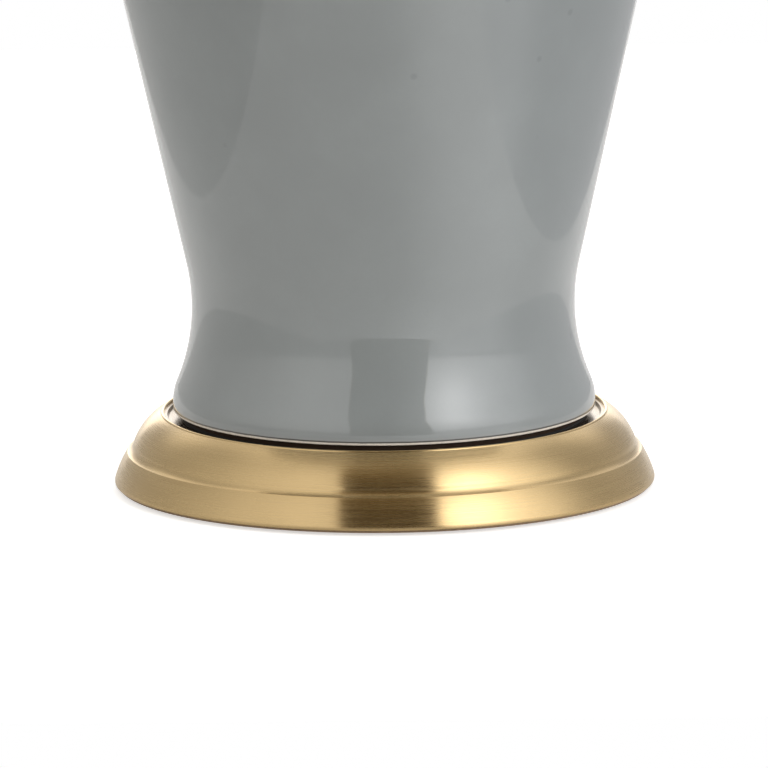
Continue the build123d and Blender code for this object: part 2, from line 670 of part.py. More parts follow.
sleeve_length = shell_top - shell_bottom - 2 * SLEEVE_SHORTFALL
with BuildPart() as insulating_sleeve:
    add(flat_ring(sleeve_outside, sleeve_inside, shell_bottom + SLEEVE_SHORTFALL, sleeve_length).part)
    with BuildSketch(Plane.XZ):
        with Locations((0, switch_axis_height)):
            Circle(switch_hole_radius)
    extrude(amount=2 * shell_radius, mode=Mode.SUBTRACT)
insulating_sleeve.part.label = "insulating_sleeve"
export_step(insulating_sleeve.part, "parts/insulating_sleeve.step")

# Socket body: moulded block with two flats for the terminals and a bore for the switch shaft
body_radius = sleeve_inside - BODY_GAP
body_flat = body_radius - TERMINAL_SEAT_DEPTH
terminal_height = (body_bottom + body_top) / 2
with BuildPart() as socket_body:
    with BuildSketch(Plane.XY.offset(body_bottom)):
        Circle(body_radius)
        Rectangle(2 * body_flat, 2 * body_radius, mode=Mode.INTERSECT)
    extrude(amount=body_top - body_bottom)
    with BuildSketch(Plane.XZ):
        with Locations((0, switch_axis_height)):
            Circle(SWITCH_SHAFT_RADIUS + SLIDE_GAP / 2)
    extrude(amount=2 * shell_radius, mode=Mode.SUBTRACT)
    with BuildSketch(Plane.YZ):
        with Locations((0, terminal_height)):
            Circle(TERMINAL_SCREW_RADIUS + SEAT_GAP)
    extrude(amount=2 * body_flat, both=True, mode=Mode.SUBTRACT)
socket_body.part.label = "socket_body"
export_step(socket_body.part, "parts/socket_body.step")

# Terminal screws, one in each flat of the socket body
with BuildPart() as terminal_screws:
    for side in (-1, 1):
        shank_end = side * (body_flat - TERMINAL_SCREW_LENGTH)
        with BuildSketch(Plane.YZ.offset(shank_end)):
            with Locations((0, terminal_height)):
                Circle(TERMINAL_SCREW_RADIUS)
        extrude(amount=side * (TERMINAL_SCREW_LENGTH + SEAT_GAP))
        with BuildSketch(Plane.YZ.offset(side * (body_flat + SEAT_GAP))):
            with Locations((0, terminal_height)):
                Circle(TERMINAL_HEAD_RADIUS)
        extrude(amount=side * TERMINAL_HEAD_HEIGHT)
        slot_end = side * (body_flat + SEAT_GAP + TERMINAL_HEAD_HEIGHT)
        with BuildSketch(Plane.YZ.offset(slot_end)):
            with Locations((0, terminal_height)):
                Rectangle(SCREW_SLOT_WIDTH, 3 * TERMINAL_HEAD_RADIUS)
        extrude(amount=-side * SCREW_SLOT_DEPTH, mode=Mode.SUBTRACT)
terminal_screws.part.label = "terminal_screws"
export_step(terminal_screws.part, "parts/terminal_screws.step")

# Screw shell that takes the bulb, standing on the socket body
screw_shell_bore = BULB_BASE_RADIUS + SCREW_SHELL_GAP
screw_shell = flat_ring(
    screw_shell_bore + SCREW_SHELL_WALL, screw_shell_bore, body_top, SCREW_SHELL_HEIGHT
)
screw_shell.part.label = "screw_shell"
export_step(screw_shell.part, "parts/screw_shell.step")

# Centre contact: a spring tab that rises from the socket body to the middle of the shell
with BuildPart() as center_contact:
    with BuildSketch(Plane.XZ):
        with BuildLine():
            Polyline(
                (-CONTACT_FOOT_LENGTH, body_top),
                (-CONTACT_FOOT_LENGTH / 3, body_top),
                (0, body_top + CONTACT_RISE - CONTACT_SHEET),
                (CONTACT_FOOT_LENGTH / 3, body_top + CONTACT_RISE - CONTACT_SHEET),
            )
            offset(amount=CONTACT_SHEET, side=Side.LEFT)
        make_face()
    extrude(amount=CONTACT_WIDTH / 2, both=True)
center_contact.part.label = "center_contact"
export_step(center_contact.part, "parts/center_contact.step")

# Switch shaft and its fluted knob, turning together about an axis along Y
knob_face = SOCKET_CAP_RADIUS + KNOB_STANDOFF
knob_socket_depth = KNOB_LENGTH - KNOB_END_WALL
knob_radius = SWITCH_SHAFT_RADIUS + KNOB_WALL
with BuildPart() as switch_shaft:
    with BuildSketch(Plane.XZ.offset(SWITCH_SHAFT_DEPTH)):
        with Locations((0, switch_axis_height)):
            Circle(SWITCH_SHAFT_RADIUS)
    extrude(amount=knob_face + knob_socket_depth - SEAT_GAP - SWITCH_SHAFT_DEPTH)
switch_shaft.part.label = "switch_shaft"
export_step(switch_shaft.part, "parts/switch_shaft.step")

with BuildPart() as switch_knob:
    with BuildSketch(Plane.XZ.offset(knob_face)):
        with Locations((0, switch_axis_height)):
            Circle(knob_radius)
    extrude(amount=KNOB_LENGTH)
    fillet(switch_knob.faces().sort_by(Axis.Y)[0].edges(), radius=KNOB_ROUNDING)
    with BuildSketch(Plane.XZ.offset(knob_face)):
        with Locations((0, switch_axis_height)):
            with PolarLocations(knob_radius + KNOB_FLUTE_RADIUS / 2, KNOB_FLUTES):
                Circle(KNOB_FLUTE_RADIUS)
    extrude(amount=KNOB_LENGTH, mode=Mode.SUBTRACT)
    with BuildSketch(Plane.XZ.offset(knob_face)):
        with Locations((0, switch_axis_height)):
            Circle(SWITCH_SHAFT_RADIUS + SEAT_GAP)
    extrude(amount=knob_socket_depth, mode=Mode.SUBTRACT)
switch_knob.part.label = "switch_knob"
export_step(switch_knob.part, "parts/switch_knob.step")

# Bulb base: contact button, moulded insulator and the metal screw base
bulb_bottom = body_top + CONTACT_RISE + BULB_CONTACT_GAP
insulator_bottom = bulb_bottom + BULB_CONTACT_HEIGHT
screw_base_bottom = insulator_bottom + INSULATOR_HEIGHT
screw_base_top = screw_base_bottom + BULB_BASE_HEIGHT
screw_base_inside = BULB_BASE_RADIUS - BULB_BASE_WALL
insulator_tip_radius = BULB_CONTACT_RADIUS + INSULATOR_TIP_WIDTH

with BuildPart() as bulb_contact:
    with BuildSketch(Plane.XY.offset(bulb_bottom)):
        Circle(BULB_CONTACT_RADIUS)
    extrude(amount=BULB_CONTACT_HEIGHT)
    fillet(bulb_contact.faces().sort_by(Axis.Z)[0].edges(), radius=BULB_CONTACT_HEIGHT / 2)
bulb_contact.part.label = "bulb_contact"
export_step(bulb_contact.part, "parts/bulb_contact.step")

with BuildPart() as bulb_insulator:
    with BuildSketch(Plane.XZ):
        Polygon(
            (0, insulator_bottom),
            (insulator_tip_radius, insulator_bottom),
            (screw_base_inside - SLIDE_GAP, screw_base_bottom),
            (screw_base_inside - SLIDE_GAP, screw_base_bottom + BULB_CONTACT_HEIGHT),
            (0, screw_base_bottom + BULB_CONTACT_HEIGHT),
            align=None,
        )
    revolve(axis=Axis.Z)
bulb_insulator.part.label = "bulb_insulator"
export_step(bulb_insulator.part, "parts/bulb_insulator.step")

bulb_base = flat_ring(BULB_BASE_RADIUS, screw_base_inside, screw_base_bottom, BULB_BASE_HEIGHT)
bulb_base.part.label = "bulb_base"
export_step(bulb_base.part, "parts/bulb_base.step")

# Bulb dome: a thin frosted cap, a little past a half sphere
bulb_top = bulb_bottom + BULB_LENGTH
inner_top = bulb_top - BULB_DOME_WALL
inner_dome_radius = BULB_DOME_RADIUS - BULB_DOME_WALL
with BuildPart() as bulb_dome:
    with BuildSketch(Plane.XZ):
        with BuildLine():
            outer_arc = JernArc((0, bulb_top), (1, 0), BULB_DOME_RADIUS, -(90 + BULB_DOME_TUCK))
            inner_arc = JernArc((0, inner_top), (1, 0), inner_dome_radius, -(90 + BULB_DOME_TUCK))
            Line(outer_arc @ 0, inner_arc @ 0)
            Line(outer_arc @ 1, inner_arc @ 1)
        make_face()
    revolve(axis=Axis.Z)
bulb_dome.part.label = "bulb_dome"
export_step(bulb_dome.part, "parts/bulb_dome.step")

# Bulb housing: collar in the screw base, flaring wall and a ledge under the LED board
dome_tuck = radians(BULB_DOME_TUCK)
dome_edge_radius = BULB_DOME_RADIUS * cos(dome_tuck)
housing_top = bulb_top - BULB_DOME_RADIUS * (1 + sin(dome_tuck)) - SEAT_GAP
collar_radius = screw_base_inside - HOUSING_COLLAR_GAP
collar_bottom = screw_base_top - HOUSING_COLLAR_LENGTH
board_bottom = housing_top - LED_BOARD_LEDGE
housing_mouth = dome_edge_radius - HOUSING_WALL
housing_neck_radius = BULB_BASE_RADIUS + HOUSING_NECK_STEP
with BuildPart() as bulb_housing:
    with BuildSketch(Plane.XZ):
        with BuildLine():
            collar = Polyline(
                (collar_radius - HOUSING_WALL, collar_bottom),
                (collar_radius, collar_bottom),
                (collar_radius, screw_base_top + SEAT_GAP),
                (housing_neck_radius, screw_base_top + SEAT_GAP),
            )
            flank = Spline(
                collar @ 1,
                (dome_edge_radius, housing_top),
                tangents=[(HOUSING_NECK_LEAN, 1), (sin(dome_tuck), cos(dome_tuck))],
            )
            ledge_steps = Polyline(
                flank @ 1,
                (housing_mouth, housing_top),
                (housing_mouth, board_bottom),
                (housing_mouth - LED_BOARD_LEDGE, board_bottom),
            )
            inside = Spline(
                ledge_steps @ 1,
                (collar_radius - HOUSING_WALL, screw_base_top),
                tangents=[(-HOUSING_LEDGE_LEAN, -1), (0, -1)],
            )
            Line(inside @ 1, collar @ 0)
        make_face()
    revolve(axis=Axis.Z)
bulb_housing.part.label = "bulb_housing"
export_step(bulb_housing.part, "parts/bulb_housing.step")

# LED board on the housing's ledge, its ring of LEDs, and the driver card in the neck
board_radius = housing_mouth - SLIDE_GAP
led_board = flat_ring(board_radius, LED_BOARD_HOLE_RADIUS, board_bottom, LED_BOARD_THICKNESS)
led_board.part.label = "led_board"
export_step(led_board.part, "parts/led_board.step")

with BuildPart() as led_chips:
    with BuildSketch(Plane.XY.offset(board_bottom + LED_BOARD_THICKNESS)):
        with PolarLocations(board_radius - LED_RING_INSET, LED_COUNT):
            Rectangle(LED_SIZE, LED_SIZE)
    extrude(amount=LED_HEIGHT)
led_chips.part.label = "led_chips"
export_step(led_chips.part, "parts/led_chips.step")

driver_bottom = screw_base_bottom + BULB_CONTACT_HEIGHT + SEAT_GAP
with BuildPart() as led_driver:
    with BuildSketch(Plane.XY.offset(driver_bottom)):
        Rectangle(DRIVER_WIDTH, DRIVER_THICKNESS)
    extrude(amount=DRIVER_LENGTH)
    with BuildSketch(Plane.XZ.offset(DRIVER_THICKNESS / 2)):
        with Locations((0, driver_bottom + DRIVER_LENGTH / 2)):
            with GridLocations(0, DRIVER_PART_SPACING, 1, 2):
                Rectangle(DRIVER_PART_LENGTH, DRIVER_PART_LENGTH)
    extrude(amount=DRIVER_PART_HEIGHT)
led_driver.part.label = "led_driver"
export_step(led_driver.part, "parts/led_driver.step")

# Shade: wire rings and spider, liner, fabric skin and bound edges
spider_bottom = hub_top + SEAT_GAP
spider_top = spider_bottom + SPIDER_HUB_THICKNESS
shade_top = spider_top + SHADE_DROP
shade_bottom = shade_top - SHADE_HEIGHT
shade_flare = (SHADE_BOTTOM_RADIUS - SHADE_TOP_RADIUS) / SHADE_HEIGHT


def cone_band(gap_outside, thickness, top, bottom):
    """A thin band of the shade's cone, standing the gap outside the liner's inner face."""
    inner_at_top = SHADE_TOP_RADIUS + shade_flare * (shade_top - top) + gap_outside
    inner_at_bottom = SHADE_TOP_RADIUS + shade_flare * (shade_top - bottom) + gap_outside
    with BuildPart() as band:
        with BuildSketch(Plane.XZ):
            Polygon(
                (inner_at_top, top),
                (inner_at_top + thickness, top),
                (inner_at_bottom + thickness, bottom),
                (inner_at_bottom, bottom),
                align=None,
            )
        revolve(axis=Axis.Z)
    return band


shade_liner = cone_band(0, LINER_THICKNESS, shade_top, shade_bottom)
shade_liner.part.label = "shade_liner"
export_step(shade_liner.part, "parts/shade_liner.step")

fabric_gap = LINER_THICKNESS + SEAT_GAP
shade_fabric = cone_band(fabric_gap, FABRIC_THICKNESS, shade_top, shade_bottom)
shade_fabric.part.label = "shade_fabric"
export_step(shade_fabric.part, "parts/shade_fabric.step")

trim_gap = fabric_gap + FABRIC_THICKNESS + SEAT_GAP
shade_top_trim = cone_band(trim_gap, TRIM_THICKNESS, shade_top, shade_top - TRIM_HEIGHT)
shade_top_trim.part.label = "shade_top_trim"
export_step(shade_top_trim.part, "parts/shade_top_trim.step")

shade_bottom_trim = cone_band(
    trim_gap, TRIM_THICKNESS, shade_bottom + TRIM_HEIGHT, shade_bottom
)
shade_bottom_trim.part.label = "shade_bottom_trim"
export_step(shade_bottom_trim.part, "parts/shade_bottom_trim.step")

wire_inset = SHADE_WIRE_RADIUS + SEAT_GAP
top_ring_height = shade_top - wire_inset
bottom_ring_height = shade_bottom + wire_inset
top_ring_radius = SHADE_TOP_RADIUS - wire_inset
bottom_ring_radius = SHADE_BOTTOM_RADIUS - shade_flare * wire_inset - wire_inset

with BuildPart() as shade_top_ring:
    with BuildSketch(Plane.XZ):
        with Locations((top_ring_radius, top_ring_height)):
            Circle(SHADE_WIRE_RADIUS)
    revolve(axis=Axis.Z)
shade_top_ring.part.label = "shade_top_ring"
export_step(shade_top_ring.part, "parts/shade_top_ring.step")

with BuildPart() as shade_bottom_ring:
    with BuildSketch(Plane.XZ):
        with Locations((bottom_ring_radius, bottom_ring_height)):
            Circle(SHADE_WIRE_RADIUS)
    revolve(axis=Axis.Z)
shade_bottom_ring.part.label = "shade_bottom_ring"
export_step(shade_bottom_ring.part, "parts/shade_bottom_ring.step")

# Spider: a hub washer on the harp's stud and three arms that rise to the top ring
spider_bore_radius = STUD_RADIUS + SPIDER_HUB_BORE_GAP
spider_hub_radius = spider_bore_radius + SPIDER_HUB_WIDTH
arm_height = spider_bottom + SHADE_WIRE_RADIUS
arm_start = spider_hub_radius - SHADE_WIRE_RADIUS
arm_tilt = atan2(top_ring_height - arm_height, SPIDER_RISE_RUN)
arm_end = top_ring_radius - SHADE_WIRE_RADIUS * (1 + sin(arm_tilt)) - SEAT_GAP
with BuildPart() as spider_arm:
    with BuildLine(Plane.XZ):
        FilletPolyline(
            (arm_start, arm_height),
            (arm_end - SPIDER_RISE_RUN, arm_height),
            (arm_end, top_ring_height),
            radius=SPIDER_BEND_RADIUS,
        )
    with BuildSketch(Plane.YZ.offset(arm_start)):
        with Locations((0, arm_height)):
            Circle(SHADE_WIRE_RADIUS)
    sweep()

with BuildPart() as shade_spider:
    with BuildSketch(Plane.XY.offset(spider_bottom)):
        Circle(spider_hub_radius)
        Circle(spider_bore_radius, mode=Mode.SUBTRACT)
    extrude(amount=SPIDER_HUB_THICKNESS)
    with PolarLocations(0, SPIDER_ARMS, start_angle=90):
        add(spider_arm.part)
shade_spider.part.label = "shade_spider"
export_step(shade_spider.part, "parts/shade_spider.step")

# Finial: a tapped brass base on the harp's stud, and a ball with a small tip on top
finial_bottom = spider_top + SEAT_GAP
foot_top = finial_bottom + FINIAL_FOOT_HEIGHT
tap_depth = hub_top + STUD_LENGTH - finial_bottom + SPIDER_HUB_BORE_GAP
stem_top = finial_bottom + tap_depth + FINIAL_TAP_SPARE
collar_top = stem_top + FINIAL_COLLAR_HEIGHT
stem_radius = STUD_RADIUS + FINIAL_STEM_WALL
finial_foot_radius = stem_radius + FINIAL_FOOT_WIDTH
finial_collar_radius = stem_radius + FINIAL_COLLAR_WIDTH
with BuildPart() as finial_base:
    with BuildSketch(Plane.XZ):
        with BuildLine():
            finial_foot = Polyline(
                (0, finial_bottom),
                (finial_foot_radius, finial_bottom),
                (finial_foot_radius, foot_top),
            )
            stem = Spline(
                finial_foot @ 1,
                (stem_radius, (foot_top + 2 * stem_top) / 3),
                (finial_collar_radius, stem_top),
                tangents=[(-1, FINIAL_FOOT_SLOPE), (FINIAL_COLLAR_LEAN, 1)],
            )
            Polyline(
                stem @ 1,
                (finial_collar_radius, collar_top),
                (0, collar_top),
                (0, finial_bottom),
            )
        make_face()
    revolve(axis=Axis.Z)
    with BuildSketch(Plane.XY.offset(finial_bottom)):
        Circle(STUD_RADIUS + SLIDE_GAP / 2)
    extrude(amount=tap_depth, mode=Mode.SUBTRACT)
finial_base.part.label = "finial_base"
export_step(finial_base.part, "parts/finial_base.step")

ball_centre = collar_top + sqrt(FINIAL_BALL_RADIUS**2 - stem_radius**2)
ball_size = 4 * FINIAL_BALL_RADIUS
with BuildPart() as finial_ball:
    with BuildSketch(Plane.XZ):
        with Locations((0, ball_centre)):
            Circle(FINIAL_BALL_RADIUS)
        with Locations((0, ball_centre + FINIAL_BALL_RADIUS)):
            Ellipse(FINIAL_TIP_RADIUS, FINIAL_TIP_HEIGHT)
        with Locations((0, collar_top)):
            Rectangle(ball_size, ball_size, align=(Align.MIN, Align.MIN), mode=Mode.INTERSECT)
    revolve(axis=Axis.Z)
finial_ball.part.label = "finial_ball"
export_step(finial_ball.part, "parts/finial_ball.step")

# Lamp pipe, from under the nut to inside the socket cap
pipe_bottom = nut_bottom - PIPE_END_BELOW_NUT
pipe_length = socket_bottom + PIPE_END_IN_CAP - pipe_bottom
threaded_pipe = flat_ring(PIPE_RADIUS, PIPE_BORE_RADIUS, pipe_bottom, pipe_length)
threaded_pipe.part.label = "threaded_pipe"
export_step(threaded_pipe.part, "parts/threaded_pipe.step")
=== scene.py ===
import json
import math
import bpy
from bpy.props import FloatProperty, FloatVectorProperty, PointerProperty
from mathutils import Matrix, Vector

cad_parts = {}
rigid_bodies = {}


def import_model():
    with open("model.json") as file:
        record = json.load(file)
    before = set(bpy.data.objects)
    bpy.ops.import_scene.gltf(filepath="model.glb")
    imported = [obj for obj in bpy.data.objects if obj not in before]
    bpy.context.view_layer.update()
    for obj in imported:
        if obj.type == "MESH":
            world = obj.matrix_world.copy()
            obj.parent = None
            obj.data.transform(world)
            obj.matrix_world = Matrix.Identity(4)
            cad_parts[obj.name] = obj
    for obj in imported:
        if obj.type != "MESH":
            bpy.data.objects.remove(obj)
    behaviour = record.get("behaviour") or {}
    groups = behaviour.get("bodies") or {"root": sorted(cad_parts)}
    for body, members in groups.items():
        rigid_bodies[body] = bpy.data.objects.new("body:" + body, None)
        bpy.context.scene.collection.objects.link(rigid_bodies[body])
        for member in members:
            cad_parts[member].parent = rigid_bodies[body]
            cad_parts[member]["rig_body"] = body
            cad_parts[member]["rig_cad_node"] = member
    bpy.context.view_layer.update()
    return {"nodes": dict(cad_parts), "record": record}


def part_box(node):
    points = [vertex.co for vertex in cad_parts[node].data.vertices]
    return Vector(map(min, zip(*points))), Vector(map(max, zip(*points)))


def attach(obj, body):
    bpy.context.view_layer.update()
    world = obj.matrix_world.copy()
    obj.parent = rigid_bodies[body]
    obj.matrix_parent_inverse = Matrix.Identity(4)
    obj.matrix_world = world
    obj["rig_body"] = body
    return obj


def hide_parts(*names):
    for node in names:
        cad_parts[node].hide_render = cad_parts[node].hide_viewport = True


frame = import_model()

# Urn table lamp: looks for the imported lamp, laid out as a Blender add-on and run as a script.
# Metres, the lamp's axis on Z, the front towards -Y.

bl_info = {
    "name": "Urn table lamp",
    "version": (1, 0, 0),
    "blender": (4, 5, 0),
    "location": "3D View > Sidebar > Urn lamp",
    "description": "Models a glazed urn table lamp on a brushed brass base around its packed frame",
    "category": "Add Mesh",
}

MM = 0.001
STAND, FINIAL, SHADE, BULB, SWITCH = "stand", "finial", "shade", "bulb", "switch"
SEGMENTS = 192


# Sizes and colours that a user would change


def length_property(name, description, default):
    return FloatProperty(
        name=name, description=description, default=default, subtype="DISTANCE", unit="LENGTH"
    )


def share_property(name, description, default):
    return FloatProperty(
        name=name, description=description, default=default, min=0.0, max=1.0, subtype="FACTOR"
    )


def colour_property(name, description, default):
    return FloatVectorProperty(
        name=name, description=description, default=default, size=3, min=0.0, max=1.0, subtype="COLOR"
    )


class GlazeSettings(bpy.types.PropertyGroup):
    """Colours of the urn's glaze and bare clay"""

    colour: colour_property("Glaze", "Colour of the thick glaze", (0.268, 0.290, 0.290))
    thin_colour: colour_property(
        "Thin glaze", "Colour where the glaze runs thin over an edge", (0.36, 0.36, 0.34)
    )
    clay: colour_property("Clay", "Bare clay of the foot", (0.98, 0.90, 0.79))
    clay_height: length_property("Clay height", "Height of the bare clay band", 29.05 * MM)
    ripple: length_property("Ripple", "Depth of the slow ripple in the glaze", 0.022 * MM)


class BrassSettings(bpy.types.PropertyGroup):
    """Colours and finish of the spun brass"""

    colour: colour_property("Brass", "Colour of the lacquered brass", (0.655, 0.478, 0.242))
    dark_colour: colour_property("Darker brass", "Colour in the brush lines", (0.567, 0.40, 0.197))
    roughness: share_property("Roughness", "Roughness of the brushed face", 0.25)


class ShadeSettings(bpy.types.PropertyGroup):
    """Colours and weave of the shade's linen"""

    warp_colour: colour_property("Warp", "Colour of the upright threads", (0.78, 0.74, 0.66))
    weft_colour: colour_property("Weft", "Colour of the round threads", (0.70, 0.66, 0.58))
    thread: length_property("Thread", "Distance from thread to thread", 0.85 * MM)


class StageSettings(bpy.types.PropertyGroup):
    """The photographer's table, lights and camera"""

    camera_height: FloatProperty(
        name="Camera height",
        description="Angle of the camera over the table",
        default=math.radians(10.83),
        subtype="ANGLE",
        unit="ROTATION",
    )
    camera_roll: FloatProperty(
        name="Camera roll",
        description="Turn of the camera about its own axis",
        default=math.radians(0.52),
        subtype="ANGLE",
        unit="ROTATION",
    )
    camera_distance: length_property("Camera distance", "From the lamp to the camera", 8.0)
    lens: FloatProperty(
        name="Lens", description="Focal length in millimetres", default=1062.7, subtype="NONE"
    )


class LampSettings(bpy.types.PropertyGroup):
    """All the lamp's settings"""

    glaze: PointerProperty(type=GlazeSettings, name="Glaze", description="Glaze settings")
    brass: PointerProperty(type=BrassSettings, name="Brass", description="Brass settings")
    linen: PointerProperty(type=ShadeSettings, name="Shade", description="Shade settings")
    stage: PointerProperty(type=StageSettings, name="Stage", description="Stage settings")


# Node helpers


def put(tree, kind, inputs=None, **settings):
    """Adds a node, sets its settings, and sets or links its inputs."""
    made = tree.nodes.new(kind)
    for key, value in settings.items():
        setattr(made, key, value)
    for key, value in (inputs or {}).items():
        if isinstance(value, bpy.types.NodeSocket):
            tree.links.new(value, made.inputs[key])
        else:
            made.inputs[key].default_value = value
    return made


def maths(tree, operation, *values, clamp=False):
    """A Math node on two or three values or sockets; returns its output."""
    made = put(tree, "ShaderNodeMath", operation=operation, use_clamp=clamp)
    for place, value in enumerate(values):
        if isinstance(value, bpy.types.NodeSocket):
            tree.links.new(value, made.inputs[place])
        else:
            made.inputs[place].default_value = value
    return made.outputs[0]


def plus(tree, *values, **more):
    return maths(tree, "ADD", *values, **more)


def minus(tree, *values, **more):
    return maths(tree, "SUBTRACT", *values, **more)


def times(tree, *values):
    return maths(tree, "MULTIPLY", *values)


def ramp(tree, value, low, high, to_low=0.0, to_high=1.0, smooth=True):
    """Maps a value from low..high to to_low..to_high, with soft ends."""
    kind = "SMOOTHSTEP" if smooth else "LINEAR"
    inputs = {"Value": value, "From Min": low, "From Max": high, "To Min": to_low, "To Max": to_high}
    return put(tree, "ShaderNodeMapRange", inputs, interpolation_type=kind).outputs[0]


def blend_colours(tree, factor, first, second, kind="MIX"):
    made = put(tree, "ShaderNodeMix", data_type="RGBA", blend_type=kind)
    for place, value in ((0, factor), (6, first), (7, second)):
        if isinstance(value, bpy.types.NodeSocket):
            tree.links.new(value, made.inputs[place])
        elif place == 0:
            made.inputs[place].default_value = value
        else:
            made.inputs[place].default_value = (*value[:3], 1.0)
    return made.outputs[2]


def blend_numbers(tree, factor, first, second):
    made = put(tree, "ShaderNodeMix", {0: factor}, data_type="FLOAT")
    for place, value in ((2, first), (3, second)):
        if isinstance(value, bpy.types.NodeSocket):
            tree.links.new(value, made.inputs[place])
        else:
            made.inputs[place].default_value = value
    return made.outputs[0]


def object_position(tree):
    return put(tree, "ShaderNodeTexCoord").outputs["Object"]


def split(tree, vector):
    """The x, y and z sockets of a vector."""
    return put(tree, "ShaderNodeSeparateXYZ", {0: vector}).outputs


def vector(tree, x, y, z):
    return put(tree, "ShaderNodeCombineXYZ", {0: x, 1: y, 2: z}).outputs[0]


def distance_from_axis(tree, place):
    flat = put(tree, "ShaderNodeVectorMath", {0: place, 1: (1.0, 1.0, 0.0)}, operation="MULTIPLY")
    return put(tree, "ShaderNodeVectorMath", {0: flat.outputs[0]}, operation="LENGTH").outputs["Value"]


def noise(tree, place, scale, detail=3.0, roughness=0.5):
    inputs = {"Vector": place, "Scale": scale, "Detail": detail, "Roughness": roughness}
    return put(tree, "ShaderNodeTexNoise", inputs).outputs["Fac"]


def start_group(name, inputs, outputs):
    """A shader node group with named inputs (name, kind, default) and outputs (name, kind)."""
    group = bpy.data.node_groups.new(name, "ShaderNodeTree")
    for label, kind, default in inputs:
        socket = group.interface.new_socket(label, in_out="INPUT", socket_type=kind)
        socket.default_value = default
    for label, kind in outputs:
        group.interface.new_socket(label, in_out="OUTPUT", socket_type=kind)
    entry = put(group, "NodeGroupInput")
    leave = put(group, "NodeGroupOutput")
    return group, entry.outputs, leave.inputs


NUMBER, COLOUR = "NodeSocketFloat", "NodeSocketColor"


def brush_lines_group():
    """Fine lines brushed round the lamp's axis: a streak mask, stray scratches and a height."""
    group, given, leave = start_group(
        "Brush lines",
        [("Lines per mm", NUMBER, 3.0), ("Arc length", NUMBER, 2.0)],
        [("Streak", NUMBER), ("Scratch", NUMBER), ("Height", NUMBER)],
    )
    place = object_position(group)
    x, y, z = split(group, place)
    radius = distance_from_axis(group, place)
    safe = maths(group, "MAXIMUM", radius, 1e-5)
    across = times(group, maths(group, "DIVIDE", x, safe), given["Arc length"])
    deep = times(group, maths(group, "DIVIDE", y, safe), given["Arc length"])
    along = minus(group, z, times(group, radius, 1.3))
    lines = times(group, along, times(group, given["Lines per mm"], 1 / MM))

    def streaks(round_share, line_share, detail, roughness):
        spot = [times(group, across, round_share), times(group, deep, round_share)]
        return noise(group, vector(group, *spot, times(group, lines, line_share)), 1.0, detail, roughness)

    fine, coarse = streaks(1.0, 1.0, 3.0, 0.6), streaks(1.0, 0.23, 2.0, 0.5)
    streak = plus(group, times(group, fine, 0.6), times(group, coarse, 0.4))
    scratch = ramp(group, streaks(9.0, 1.0, 1.0, 0.4), 0.70, 0.80)
    group.links.new(ramp(group, streak, 0.30, 0.70), leave["Streak"])
    group.links.new(scratch, leave["Scratch"])
    group.links.new(minus(group, streak, times(group, scratch, 0.2)), leave["Height"])
    return group


def handling_group():
    """Slow, uneven change over a surface: a cloud mask and small specks."""
    group, given, leave = start_group(
        "Handling marks",
        [("Cloud size", NUMBER, 0.03), ("Speck size", NUMBER, 0.004), ("Speck share", NUMBER, 0.2)],
        [("Cloud", NUMBER), ("Speck", NUMBER)],
    )
    place = object_position(group)
    cloud_scale = maths(group, "DIVIDE", 1.0, given["Cloud size"])
    cloud = noise(group, place, cloud_scale, detail=4.0, roughness=0.55)
    group.links.new(ramp(group, cloud, 0.32, 0.68), leave["Cloud"])
    speck_scale = maths(group, "DIVIDE", 1.0, given["Speck size"])
    cells = put(group, "ShaderNodeTexVoronoi", {"Vector": place, "Scale": speck_scale})
    pick = put(group, "ShaderNodeSeparateColor", {0: cells.outputs["Color"]}).outputs[0]
    chosen = maths(group, "LESS_THAN", pick, given["Speck share"])
    near = ramp(group, cells.outputs["Distance"], 0.05, 0.16, 1.0, 0.0)
    group.links.new(times(group, near, chosen), leave["Speck"])
    return group


def grain_group():
    """Even fine grain for moulded, cast and pressed surfaces."""
    group, given, leave = start_group(
        "Fine grain",
        [("Grain size", NUMBER, 0.0006), ("Coarseness", NUMBER, 0.5)],
        [("Grain", NUMBER)],
    )
    place = object_position(group)
    scale = maths(group, "DIVIDE", 1.0, given["Grain size"])
    fine = noise(group, place, scale, detail=4.0, roughness=0.6)
    wide = noise(group, place, times(group, scale, 0.12), detail=3.0)
    group.links.new(blend_numbers(group, given["Coarseness"], fine, wide), leave["Grain"])
    return group


